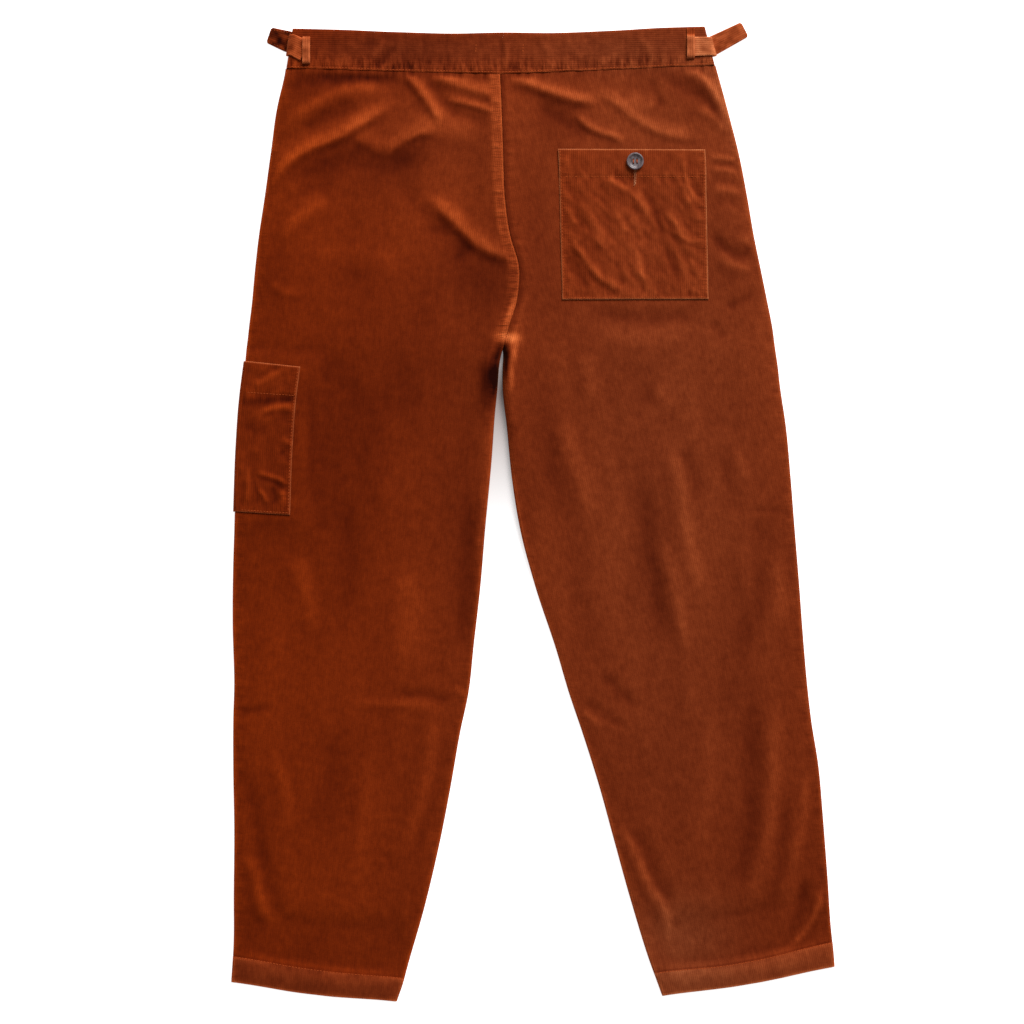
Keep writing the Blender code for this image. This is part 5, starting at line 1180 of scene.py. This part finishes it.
def thigh_pocket(leg, finish):
    """The shown half on the back panel, round the side seam, and the hidden half on the front."""
    top, end = leg.knot["thigh_pocket_top"], leg.knot["thigh_pocket_end"]
    rise = np.linspace(0, 1, int((end - top) / POCKET_STEP))[:, None]
    rise = np.concatenate([[[0.0], [0.003], [0.007]], rise[1:-1], [[0.993], [0.997], [1.0]]])
    aside = np.concatenate([[0.0, 0.003, 0.007], np.linspace(0.015, 0.47, 30)])[None, :]
    shown, _ = thigh_pocket_point(leg, rise + 0 * aside, aside + 0 * rise)
    s = leg.section(top + (end - top) * rise)
    centre_x, _ = leg.plan(s, 0.0 * rise + s.edge_round)
    top_point, _ = thigh_pocket_point(leg, rise, 0.5 - 0.5 * s.edge_round / THIGH_POCKET_SHOWN + 0 * rise)
    height_top = top_point[..., 2]
    height_low = leg.lift(s, s.edge_round) - LAY_GAP - POCKET_WALL
    middle, half = (height_top + height_low) / 2, (height_top - height_low) / 2
    reach = s.edge_round + LAY_GAP + POCKET_WALL
    turn = np.linspace(0.0, pi, 13)[None, :]
    round_x = centre_x - reach * np.sin(turn)
    round_z = middle + half * np.cos(turn)
    round_y = top_point[..., 1] + 0 * turn
    bend = np.stack([round_x, round_y, round_z], -1)
    inward = np.linspace(4.0, THIGH_POCKET_HIDDEN, 16)[None, :]
    x, y = leg.plan(s, inward + s.edge_round)
    low = np.stack([x, y, leg.lift(s, inward) - LAY_GAP - POCKET_WALL + 0 * x], -1)
    points = np.concatenate([shown, bend, low], 1)
    across = way_along(points[0])
    across = across[None, :] + THIGH_POCKET_CLOTH_X + 0 * points[..., 0]
    uv = np.stack([across * MM, points[..., 1] * MM], -1)
    # Painted highlight along the pocket's edges and on its hem fold, painted highlights and shade of its
    # crests, hollows and wrinkles, and painted sheen along the edges.
    rim = bell(THIGH_POCKET_HEIGHT * np.minimum(rise, 1 - rise), POCKET_EDGE_HIGHLIGHT["reach"]) + 0 * points[..., 0]
    rim[:, : aside.size] += bell(aside * (2 * THIGH_POCKET_SHOWN), POCKET_EDGE_HIGHLIGHT["reach"])
    rim = np.minimum(rim, 1.0)
    tone = 0.02 + POCKET_EDGE_HIGHLIGHT["tone"] * rim
    tone[:, : aside.size] += crest_highlight_hollow_shade(shown[..., 2]) + tone_at(shown[..., 0], shown[..., 1])
    tone[:, : aside.size] += 1.3 * fold_shine(shown[..., 0], shown[..., 1], THIGH_POCKET_FOLDS)
    from_hem = THIGH_POCKET_HEIGHT * rise - (leg.knot["thigh_pocket_hem"] - top)
    tone = tone + 0.40 * bell(from_hem + 0.6, 0.9)
    pleat = 0.8 * bell(from_hem, 9.0) + bell(THIGH_POCKET_HEIGHT * (1 - rise) - 5.0, 9.0)
    gather = np.zeros_like(tone)
    gather[:, : aside.size] = 0.7 * bell(aside * (2 * THIGH_POCKET_SHOWN) - 4.0, 6.0)
    layers = {"tone": tone, "painted_sheen": 0.1 + POCKET_EDGE_HIGHLIGHT["painted_sheen"] * rim}
    layers.update(pleat=pleat + 0 * tone, gather=gather)
    shell("cloth_thigh_pocket", points, uv, layers, True, SHELL_WALL, finish, "thigh_pocket")


def band_edge(side):
    """The lower and upper ends of a half waistband, at the side and at the centre seam."""
    toward = 1.0 if side == "left" else -1.0
    x, y = SEAT[f"{side}_x"][0], SEAT[f"{side}_y"][0]
    end = 0 if side == "left" else -1
    side_low = (x + toward * BAND_EDGE_INSET, y + WAIST_SEAM_GAP)
    seam_low = (SEAT["seam_x"][0] - toward * SEAM_GAP / 2, SEAT["seam_y"][0] + WAIST_SEAM_GAP)
    side_high = (BAND_TOP["x"][end], BAND_TOP["y"][end])
    seam_high_x = BAND_SEAM_X - toward * SEAM_GAP / 2
    return side_low, seam_low, side_high, seam_high_x


def band_point(side, face, rise, distance, drop=0.0):
    """A point of the waistband: rise is the share up from its seam, distance the way from its side."""
    side_low, seam_low, side_high, seam_high_x = band_edge(side)
    edge_round = BAND_WALL + EDGE_SPARE
    width = abs(seam_low[0] - side_low[0])
    share = distance / width
    low_x = side_low[0] + (seam_low[0] - side_low[0]) * share
    low_y = side_low[1] + (seam_low[1] - side_low[1]) * share
    high_x = side_high[0] + (seam_high_x - side_high[0]) * share
    high_y = smooth(BAND_TOP["x"], BAND_TOP["y"], high_x) - drop * ease(distance / FRONT_BAND_DROP_RUN)
    depth = high_y - low_y
    x, y = low_x + (high_x - low_x) * rise, low_y + depth * rise
    lift = STRAP_STACK * plateau(distance, STRAP_FLAT, STRAP_RAMP)
    arc = turned_edge(distance, edge_round)
    if face == "front":
        return np.stack([x, y, edge_round * (1 - arc) + lift + 0 * x], -1)
    edge_z = edge_round + FRONT_LIP + LAY_GAP
    middle, top = SEAT["crown"][0] + BAND_PROUD, edge_z + BACK_LIP + edge_round
    body = top + (middle - top) * ease(distance / BAND_LEVEL_RUN)
    height = np.where(distance < edge_round, edge_z + BACK_LIP + edge_round * arc, body)
    from_top = depth * (1 - rise)
    inside = ease(distance / 5) * ease(from_top / 5) * ease(depth * rise / 1.5)
    ripple = 0.55 * pucker(x, depth * rise - 6.0, 8.5, 8.0, 61) + 0.22 * noise(x / 12.0, y / 9.0, 62)
    ripple = ripple + 0.25 * pucker(x, from_top - 3.0, 14.0, 6.0, 63)
    height = height + inside * (ripple + fold_height(x, y, BAND_WRINKLES))
    height = height - BAND_ROUND * (1 - turned_edge(from_top, 2.2))
    height = height - 0.6 * (1 - turned_edge(depth * rise, 1.2))
    return np.stack([x, y, height + lift], -1)


def band_distances(side):
    """Distances from the side of a half waistband, closer together round its turned edge."""
    side_low, seam_low, _, _ = band_edge(side)
    width = abs(seam_low[0] - side_low[0])
    arc = (BAND_WALL + EDGE_SPARE) * (1 - np.cos(np.linspace(0, pi / 2, 6)))
    return np.concatenate([arc, np.linspace(arc[-1], width, int(width / BAND_STEP))[1:]])


def band_uv(points):
    """Ground plan to cloth, in metres, with the ribs along the waistband."""
    return np.stack([points[..., 1] * MM, points[..., 0] * MM], -1)


def waistband(finish):
    """The back waistband's halves and the front waistband."""
    rise = np.concatenate([[0.0, 0.008, 0.02, 0.04], np.linspace(0.07, 0.93, 22), [0.965, 0.98, 0.992, 1.0]])
    rise = rise[:, None]
    fronts = {}
    for side in ("left", "right"):
        distance = band_distances(side)[None, :]
        points = band_point(side, "back", rise + 0 * distance, distance + 0 * rise)
        points = np.concatenate([moved(points[:, :1], -BACK_LIP), points], 1)
        x, y = points[..., 0], points[..., 1]
        # Painted highlights and shade of the band's wrinkles, crests and hollows, and painted highlights
        # along its lower and upper edges.
        tone = tone_at(x, y) + crest_highlight_hollow_shade(points[..., 2]) + fold_shine(x, y, BAND_WRINKLES)
        tone = tone + 0.5 * bell(rise * BAND_DEPTH, 1.4) + 0.25 * bell((1 - rise) * BAND_DEPTH, 1.6)
        pleat = 1.9 * bell(rise * BAND_DEPTH - 5.0, 8.0) + 0.55 + 0 * tone
        layers = {"tone": tone, "painted_sheen": tone_at(x, y, PAINTED_SHEEN_PATCHES), "pleat": pleat}
        node = f"waistband_back_{side}"
        shell(f"cloth_{node}", points, band_uv(points), layers, True, BAND_SHELL_WALL, finish, node)
        front = band_point(side, "front", rise + 0 * distance, distance + 0 * rise, FRONT_BAND_DROP)
        fronts[side] = np.concatenate([moved(front[:, :1], FRONT_LIP), front], 1)
    whole = np.concatenate([fronts["left"][:, :-1], fronts["right"][:, -2::-1]], 1)
    node = "waistband_front"
    shell(f"cloth_{node}", whole, band_uv(whole), {}, False, BAND_SHELL_WALL, finish, node)


def band_top_height():
    """The height of the back waistband's outer face where the straps and keepers lie."""
    return STRAP_STACK + 2 * (BAND_WALL + EDGE_SPARE) + FRONT_LIP + LAY_GAP + BACK_LIP


def across(run):
    """The angle, from 0 to 180 degrees, of the width of a strip that runs this way."""
    return (np.degrees(np.arctan2(run[1], run[0])) - 90.0) % 180.0


def strap_stations(row):
    """Plan point, height, angle of the width and half width, from the keeper to the tail's end."""
    out = -1.0 if row.side == "left" else 1.0
    side_low, _, side_high, _ = (np.array(point, float) for point in band_edge(row.side))
    edge_run = side_high - side_low
    edge_angle = np.degrees(np.arctan2(edge_run[1], edge_run[0]))
    edge_x = side_low[0] + edge_run[0] * (row.edge_y - side_low[1]) / edge_run[1]
    edge_round, half = BAND_WALL + EDGE_SPARE, STRAP_WALL / 2
    face_z = band_top_height() + LAY_GAP + half
    upper_z, lower_z = STRAP_WALL + LAY_GAP + half, half
    face_half, end_half = row.face_width / 2, row.end_width / 2
    start, turn = np.array([row.start_x, row.start_y]), np.array([row.turn_x, row.turn_y])
    bend = np.array([edge_x - out * edge_round, row.edge_y])
    leave, end = np.array([row.exit_x, row.exit_y]), np.array([row.end_x, row.end_y])
    stations = []
    face_angle = across(bend - start)
    for share in (0.0, 0.2, 0.4, 0.6, 0.8):
        angle = face_angle + (edge_angle - face_angle) * share
        stations.append((*(start + (bend - start) * share), face_z, angle, face_half))
    bulge = edge_round + LAY_GAP + half + row.loose
    middle_z, high = (face_z + upper_z) / 2, (face_z - upper_z) / 2
    for step in range(13):
        turned = pi * step / 12
        x = bend[0] + out * bulge * sin(turned)
        stations.append((x, bend[1], middle_z + high * cos(turned), edge_angle, face_half))
    under_angle = across(turn - bend)
    stations.append((*((bend + turn) / 2), upper_z, (edge_angle + under_angle) / 2, face_half))
    tail_angle = across(leave - turn)
    fold = (upper_z - lower_z) / 2
    for step in range(7):
        turned = pi * step / 6
        x = turn[0] - out * 1.2 * fold * sin(turned)
        height = lower_z + fold + fold * cos(turned)
        stations.append((x, turn[1], height, (under_angle + tail_angle) / 2, face_half))
    for share in (0.3, 0.65, 1.0):
        stations.append((*(turn + (leave - turn) * share), lower_z, tail_angle, face_half))
    length = np.linalg.norm(end - leave)
    for before_end in (14.0, 7.0, 2.4, 1.2, 0.5, 0.0):
        share = 1 - before_end / length
        corner = 2.0 * (1 - turned_edge(before_end, 2.4))
        width = face_half + (end_half - face_half) * share - corner
        stations.append((*(leave + (end - leave) * share), lower_z, across(end - leave), width))
    return np.array(stations)


def strip_faces(count, ring):
    """The faces of a strip with this many rows and points in a row, closed at both ends."""
    index = np.arange(count * ring).reshape(count, ring)
    after = np.roll(index, -1, axis=1)
    faces = np.stack([index[:-1], after[:-1], after[1:], index[1:]], -1).reshape(-1, 4).tolist()
    for row, flip in ((0, True), (count - 1, False)):
        for column in range(ring // 2 - 1):
            around = (column, column + 1, ring - 2 - column, ring - 1 - column)
            quad = [int(index[row, corner]) for corner in around]
            faces.append(quad[::-1] if flip else quad)
    return faces


def face_outward(mesh):
    """Turns the faces of a closed mesh over if they face its inside."""
    volume = 0.0
    mesh.calc_loop_triangles()
    for triangle in mesh.loop_triangles:
        a, b, c = (mesh.vertices[corner].co for corner in triangle.vertices)
        volume += a.dot(b.cross(c))
    if volume < 0:
        mesh.flip_normals()


def sweep(name, stations, tones, turns_at, thickness, groove, finish, node):
    """A flat strip of folded cloth along stations, with rounded edges and stitched grooves."""
    centres = stations[:, :3]
    run = way_along(centres)
    count = max(int(run[-1] / STRAP_STEP), 8)
    at = np.linspace(0, run[-1], count)
    fine = np.stack([np.interp(at, run, stations[:, column]) for column in range(5)], 1)
    centres, angle, half = fine[:, :3], np.radians(fine[:, 3]), fine[:, 4]
    wide = np.stack([np.cos(angle), np.sin(angle), 0 * angle], 1)
    tangent = np.gradient(centres, axis=0)
    tangent /= np.linalg.norm(tangent, axis=1, keepdims=True)
    normal = np.cross(wide, tangent)
    normal /= np.linalg.norm(normal, axis=1, keepdims=True)
    shares = np.concatenate([-np.cos(np.linspace(0, 0.35 * pi, 5)), np.linspace(-0.38, 0.38, 7)])
    shares = np.concatenate([shares, -shares[:5][::-1]])
    offset = shares[None, :] * half[:, None]
    from_edge = half[:, None] - np.abs(offset)
    round_off = turned_edge(from_edge, 0.9)
    swell = 0.5 * thickness * (0.25 + 0.75 * round_off)
    swell = swell - groove * bell(from_edge - STRAP_STITCH_INSET, 0.8)
    ripple = 0.16 * noise(at[:, None] / 6.0, offset / 8.0, 91)
    top = centres[:, None] + wide[:, None] * offset[..., None] + normal[:, None] * (swell + ripple)[..., None]
    low = centres[:, None] + wide[:, None] * offset[..., None] - normal[:, None] * (swell - ripple)[..., None]
    loop = np.concatenate([top, low[:, ::-1]], 1)
    loop[..., 2] = np.maximum(loop[..., 2], 0.0)
    ring = loop.shape[1]
    mesh = bpy.data.meshes.new(name)
    mesh.from_pydata((loop.reshape(-1, 3) * MM).tolist(), [], strip_faces(count, ring))
    across, along = np.concatenate([offset, offset[:, ::-1]], 1), at[:, None] + np.zeros((count, ring))
    uv_of = np.stack([across, along], -1).reshape(-1, 2) * MM
    layer = mesh.uv_layers.new(name="cloth")
    loops = np.empty(len(mesh.loops), np.int32)
    mesh.loops.foreach_get("vertex_index", loops)
    layer.data.foreach_set("uv", uv_of[loops].astype(np.float32).ravel())
    face_outward(mesh)
    mesh.shade_smooth()
    # Painted light and shade from the tone at the start to that at the end, painted sheen where it is light,
    # a painted highlight along the rounded edges, and random mottling.
    tone = tones[0] + (tones[1] - tones[0]) * ease((at / at[-1] - turns_at) / 0.12)
    paler = 2.5 * np.clip(tone, 0, 1)
    tone = tone[:, None] + EDGE_HIGHLIGHT * bell(from_edge, 1.3)
    tone = tone + 0.55 * noise(at[:, None] / 5.0, offset / 4.0, 92)
    paler = paler[:, None] + 0 * tone
    both = {"tone": tone, "painted_sheen": paler}
    add_layers(mesh, {key: np.concatenate([each, each[:, ::-1]], 1) for key, each in both.items()})
    mesh.materials.append(finish)
    made = add_piece(name, mesh, node)
    surface = centres[:, None] + normal[:, None] * (0.5 * thickness)
    return SimpleNamespace(centres=centres, wide=wide, normal=normal, half=half, surface=surface[:, 0], at=at)


def keeper_stations(row):
    """The same for a keeper, from the waistband's top over its strap and down again."""
    low = band_top_height() + LAY_GAP + STRAP_WALL / 2
    high = low + STRAP_WALL + LAY_GAP
    path = [(row.top, low), (row.strap_top + 1.6, low), (row.strap_top + 0.6, (low + high) / 2)]
    path += [(row.strap_top - 0.6, high), ((row.strap_top + row.strap_end) / 2, high + 0.3)]
    path += [(row.strap_end + 0.6, high), (row.strap_end, high - 0.2)]
    if row.end < row.strap_end:
        path += [(row.strap_end - 1.0, (low + high) / 2), (row.strap_end - 1.8, low), (row.end, low)]
    return np.array([(row.x, y, z, 0.0, KEEPER_WIDTH / 2) for y, z in path])


def stitch_row(points, normals, length=STITCH_LENGTH, gap=STITCH_GAP, sink=0.10):
    """Centres, directions and normals of the stitches along a path."""
    points, normals = np.asarray(points, float), np.asarray(normals, float)
    run = way_along(points)
    starts = np.arange(gap, run[-1] - length, length + gap)
    ends = starts + length

    def at(where, values):
        return np.stack([np.interp(where, run, values[:, axis]) for axis in range(3)], 1)

    first, last = at(starts, points), at(ends, points)
    middle_normal = at((starts + ends) / 2, normals)
    middle_normal /= np.linalg.norm(middle_normal, axis=1, keepdims=True)
    return first - sink * middle_normal, last - sink * middle_normal, middle_normal


def stitches(name, rows, finish, radius=STITCH_RADIUS):
    """One mesh of short thread spindles, humped in the middle."""
    starts, ends, normals = (np.concatenate(values) for values in zip(*rows))
    run = ends - starts
    length = np.linalg.norm(run, axis=1, keepdims=True)
    forward = run / length
    side = np.cross(normals, forward)
    side /= np.linalg.norm(side, axis=1, keepdims=True)
    upward = np.cross(forward, side)
    corners = 6
    angles = 2 * pi * np.arange(corners) / corners
    rings = ((0.0, 0.45, -0.22), (0.18, 0.95, 0.0), (0.5, 1.0, 0.08), (0.82, 0.95, 0.0), (1.0, 0.45, -0.22))
    points = []
    for share, wide, raised in rings:
        centre = starts + run * share + upward * raised
        for angle in angles:
            points.append(centre + (side * cos(angle) + upward * sin(angle) * 0.8) * radius * wide)
    points = np.stack(points, 1)
    each = points.shape[1]
    faces = []
    for ring in range(len(rings) - 1):
        for corner in range(corners):
            after = (corner + 1) % corners
            low, high = ring * corners, (ring + 1) * corners
            faces.append((low + corner, low + after, high + after, high + corner))
    caps = [tuple(range(corners))[::-1], tuple(range(each - corners, each))]
    all_faces = [
        tuple(corner + number * each for corner in face)
        for number in range(len(starts))
        for face in faces + caps
    ]
    mesh = bpy.data.meshes.new(name)
    mesh.from_pydata((points.reshape(-1, 3) * MM).tolist(), [], all_faces)
    mesh.shade_smooth()
    mesh.materials.append(finish)
    add_piece(name, mesh)


UP = np.array([0.0, 0.0, 1.0])


def level_row(points, *sizes):
    """A stitch row on a surface that is nearly level."""
    return stitch_row(points, np.broadcast_to(UP, points.shape), *sizes)


def seam_stitches(left, right, finish):
    """The rows along the centre seam's felled strip, the hems and the waistband."""
    at = np.arange(left.knots[0] + 2.0, left.knot["knot"] + 4.0, 1.0)
    s = left.section(at)
    stitches("stitches_centre_seam", [level_row(left.back(s, s.width - 1.5))], finish)
    hems = []
    for leg in (left, right):
        share = np.linspace(0.012, 0.988, 180)
        s = leg.section(0 * share + leg.knot["hem_seam"] + 0.8)
        hems.append(level_row(leg.back(s, share * s.width)))
    stitches("stitches_hems", hems, finish)
    bands = []
    for side in ("left", "right"):
        distance = np.linspace(4.0, abs(band_edge(side)[1][0] - band_edge(side)[0][0]) - 0.5, 200)
        bands.append(level_row(band_point(side, "back", 0 * distance + 0.045, distance)))
    stitches("stitches_waistband", bands, finish)


def pocket_stitches(left, right, finish):
    edge, step = 0.0135, np.linspace(0, 1, 140)
    hem = BACK_POCKET_HEM / BACK_POCKET_HEIGHT
    rows = [level_row(back_pocket_point(right, 0 * step + hem, 0.02 + 0.96 * step))]
    for aside in (edge, 1 - edge):
        rows.append(level_row(back_pocket_point(right, 0.01 + 0.975 * step, 0 * step + aside)))
    rows.append(level_row(back_pocket_point(right, 0 * step + 1 - edge, edge + (1 - 2 * edge) * step)))
    stitches("stitches_back_pocket", rows, finish)
    top, end = left.knot["thigh_pocket_top"], left.knot["thigh_pocket_end"]
    hem = (left.knot["thigh_pocket_hem"] - top) / (end - top)
    rows = [level_row(thigh_pocket_point(left, 0 * step + hem, 0.02 + 0.44 * step)[0])]
    rows.append(level_row(thigh_pocket_point(left, 0.01 + 0.975 * step, 0 * step + 0.018)[0]))
    rows.append(level_row(thigh_pocket_point(left, 0 * step + 0.985, 0.018 + 0.44 * step)[0]))
    stitches("stitches_thigh_pocket", rows, finish)


def strap_stitches(swept, finish):
    rows = []
    for strip in swept:
        for toward in (-1, 1):
            aside = toward * (strip.half - STRAP_STITCH_INSET)
            path = strip.surface + strip.wide * aside[:, None] - 0.12 * strip.normal
            path[:, 2] = np.maximum(path[:, 2], STRAP_STITCH_LEAST_Z)
            rows.append(stitch_row(path, strip.normal, 2.6, 0.8))
    stitches("stitches_straps", rows, finish, 0.28)


def button_seat(leg):
    """The height of the button's underside: on the pocket, and near that of the solid button."""
    rise, aside = np.meshgrid(np.linspace(0.0, 0.2, 30), np.linspace(0.05, 0.95, 60), indexing="ij")
    around = back_pocket_point(leg, rise, aside)
    close = np.hypot(around[..., 0] - BUTTON_CENTRE[0], around[..., 1] - BUTTON_CENTRE[1]) < 8.0
    low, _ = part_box("button")
    seat = max(float(around[close][:, 2].max()) + 0.1, low.z / MM - 0.6)
    return min(seat, low.z / MM + 0.4)


def button(finish, seat):
    """A turned button with a raised rim and four holes."""
    radius = BUTTON_DIAMETER / 2
    mesh = bpy.data.meshes.new("button_body")
    points = [(share * radius * MM, 0, height * MM) for share, height in BUTTON_PROFILE]
    mesh.from_pydata(points, [(index, index + 1) for index in range(len(points) - 1)], [])
    made = bpy.data.objects.new("button_body", mesh)
    bpy.context.scene.collection.objects.link(made)
    turned = made.modifiers.new("turned", "SCREW")
    turned.steps = turned.render_steps = 72
    turned.use_merge_vertices = True
    turned.merge_threshold = 0.00001
    cutters = []
    for number in range(BUTTON_HOLES):
        angle = pi / 4 + 2 * pi / BUTTON_HOLES * number
        place = Vector((cos(angle), sin(angle), 0)) * BUTTON_HOLE_RING * MM
        hole_radius = BUTTON_HOLE_RADIUS * MM
        bpy.ops.mesh.primitive_cylinder_add(vertices=20, radius=hole_radius, depth=0.02, location=place)
        cutters.append(bpy.context.object)
        hole = made.modifiers.new("hole", "BOOLEAN")
        hole.object = cutters[-1]
    bpy.context.view_layer.update()
    graph = bpy.context.evaluated_depsgraph_get()
    solid = bpy.data.meshes.new_from_object(made.evaluated_get(graph))
    made.modifiers.clear()
    made.data = solid
    for cutter in cutters:
        bpy.data.objects.remove(cutter)
    place = Vector((BUTTON_CENTRE[0], BUTTON_CENTRE[1], seat)) * MM
    for vertex in solid.vertices:
        vertex.co += place
    solid.shade_smooth()
    solid.set_sharp_from_angle(angle=radians(40))
    solid.materials.append(finish)
    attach(made, "root")
    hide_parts("button")


def button_stitches(thread, seat):
    """Two bars of thread through the holes."""
    rows = []
    for x in (-1.9, 1.9):
        for shift in (-0.32, 0.0, 0.32):
            centre = np.array([BUTTON_CENTRE[0] + x + shift, BUTTON_CENTRE[1], seat + 1.85])
            ends = centre + np.array([(0, -2.3, -0.3), (0, -1.2, 0.1), (0, 1.2, 0.1), (0, 2.3, -0.3)])
            rows.append(level_row(ends, 4.2, 0.1, 0.0))
    stitches("button_thread", rows, thread, 0.22)


def buttonhole(leg, thread):
    """Close cross stitches round a slit under the button, with a few loose ends."""
    rows = []
    centre_x, top_y, length = BUTTON_CENTRE[0], BUTTONHOLE_TOP, BUTTONHOLE_LENGTH
    top, end = leg.knot["pocket_top"], leg.knot["pocket_end"]
    generator = np.random.default_rng(5)

    def on_pocket(x, y):
        at = -np.asarray(y, float)
        s = leg.section(at)
        distance = (s.outer_x - x) / (s.outer_x - s.inner_x) * s.width
        aside = (distance - s.pocket_right) / (s.pocket_left - s.pocket_right)
        return back_pocket_point(leg, (at - top) / (end - top), aside)

    for y in np.arange(top_y, top_y - length, -BUTTONHOLE_PITCH):
        for toward in (-1, 1):
            reach = 1.35 + generator.uniform(-0.2, 0.35)
            x = centre_x + toward * np.array([0.2, 0.6, 1.0, reach])
            path = on_pocket(x, y + generator.uniform(-0.15, 0.15, 4))
            path[:, 2] += np.array([0.05, 0.35, 0.30, 0.0])
            rows.append(level_row(path, reach - 0.45, 0.05, 0.0))
    for number in range(5):
        y = top_y - length + 4.5 - number * 1.1
        x = centre_x + np.cumsum(generator.uniform(-0.9, 0.9, 6))
        path = on_pocket(x, y - np.linspace(0, 4.0, 6))
        path[:, 2] += 0.5
        rows.append(level_row(path, 3.0, 0.1, 0.0))
    stitches("buttonhole_thread", rows, thread, 0.22)


def tacks(thread):
    """Short upright bars of thread on the back waistband, either side of the centre seam."""
    rows = []
    for side, x in (("left", -61.4), ("right", -11.4)):
        side_x = band_edge(side)[0][0]
        distance = abs(x - side_x) + np.zeros(12)
        rise = np.linspace(0.50, 0.74, 12)
        path = band_point(side, "back", rise, distance)
        for shift in (-0.3, 0.3):
            rows.append(level_row(moved(path, 0.0, shift), 2.6, 0.4, 0.0))
    stitches("waistband_tacks", rows, thread, 0.18)


def floor():
    """A white floor that glows, but for a painted shadow between the legs: a grey oval that glows less."""
    net = Net("floor")
    slit = net.scaled(net.place(), (10.0, 4.6, 1.0), (0.325, -0.57, 0.0))
    from_slit = net.node("ShaderNodeVectorMath", {0: slit}, operation="LENGTH").outputs["Value"]
    open_floor = net.range(from_slit, 0.0, 1.0, 0.0, 1.0)
    glow = net.range(open_floor, 0.0, 1.0, 0.04, 0.86)
    looks = {"Base Color": net.mix(open_floor, FLOOR_SHADE, FLOOR_PALE), "Roughness": 0.9}
    net.finish({**looks, "Emission Color": (1.0, 1.0, 1.0, 1.0), "Emission Strength": glow})
    bpy.ops.mesh.primitive_plane_add(size=16.0, location=(0, 0, -0.4 * MM))
    made = bpy.context.object
    made.name = "floor"
    made.data.materials.append(net.material)


KEY_PLACE = (2.4, 5.8, 4.0)
KEY_SIZE = (4.6, 3.2)
KEY_POWER = 810.0
SKY_STRENGTH = 0.26


def lights():
    """A broad light from beyond the waist, and an even white sky."""
    world = bpy.data.worlds.new("studio")
    bpy.context.scene.world = world
    world.use_nodes = True
    background = world.node_tree.nodes["Background"]
    background.inputs["Color"].default_value = (1.0, 1.0, 1.0, 1.0)
    background.inputs["Strength"].default_value = SKY_STRENGTH
    data = bpy.data.lights.new("key", "AREA")
    data.shape = "RECTANGLE"
    data.size, data.size_y = KEY_SIZE
    data.energy = KEY_POWER
    made = bpy.data.objects.new("key", data)
    made.location = KEY_PLACE
    made.rotation_euler = (-Vector(KEY_PLACE)).to_track_quat("-Z", "Y").to_euler()
    bpy.context.scene.collection.objects.link(made)


PIXEL = 1.04 * MM
FRAME_PIXELS = 1024
OUTLINE_CENTRE_PIXEL = 533
LENS = 85.0
SENSOR = 36.0
CLOTH_MIDDLE = 6 * MM


def camera():
    """Straight above, with the garment placed in the frame as it was photographed."""
    data = bpy.data.cameras.new("camera")
    data.lens = LENS
    data.sensor_width = SENSOR
    made = bpy.data.objects.new("camera", data)
    height = FRAME_PIXELS * PIXEL * data.lens / data.sensor_width
    made.location = ((FRAME_PIXELS / 2 - OUTLINE_CENTRE_PIXEL) * PIXEL, 0.0, height + CLOTH_MIDDLE)
    bpy.context.scene.collection.objects.link(made)
    bpy.context.scene.camera = made


def main():
    scene = bpy.context.scene
    scene.view_settings.view_transform = "Standard"
    cloth = corduroy("corduroy", RUST, 0.93, 1.03, 0.07 * MM, 4.0)
    ribbed_cloth = corduroy("ribbed_corduroy", RUST, 0.83, 1.06, 0.14 * MM, 1.6)
    strap_cloth = corduroy("strap_corduroy", STRAP_RUST, 0.83, 1.06, 0.14 * MM, 1.3)
    thread = thread_material("rust_thread", THREAD)
    pale_thread = thread_material("pale_thread", PALE_THREAD)

    left, right = Leg("left", LEFT_LEG), Leg("right", RIGHT_LEG)
    for leg in (left, right):
        panels(leg, cloth)
    waistband(ribbed_cloth)
    back_pocket(right, ribbed_cloth)
    thigh_pocket(left, ribbed_cloth)
    swept = []
    for row in rows_of(STRAPS):
        node = f"strap_{row.side}"
        tones = (row.face_tone, row.tail_tone)
        strip = sweep(f"cloth_{node}", strap_stations(row), tones, 0.42, STRAP_WALL, 0.18, strap_cloth, node)
        swept.append(strip)
    for row in rows_of(KEEPERS):
        node = f"keeper_{row.side}"
        tones = (row.top_tone, row.tone)
        sweep(f"cloth_{node}", keeper_stations(row), tones, 0.2, STRAP_WALL, 0.0, strap_cloth, node)
    seam_stitches(left, right, thread)
    pocket_stitches(left, right, thread)
    strap_stitches(swept, thread)
    seat = button_seat(right)
    button(button_material(), seat)
    button_stitches(thread, seat)
    buttonhole(right, pale_thread)
    tacks(thread)
    floor()
    lights()
    camera()


main()
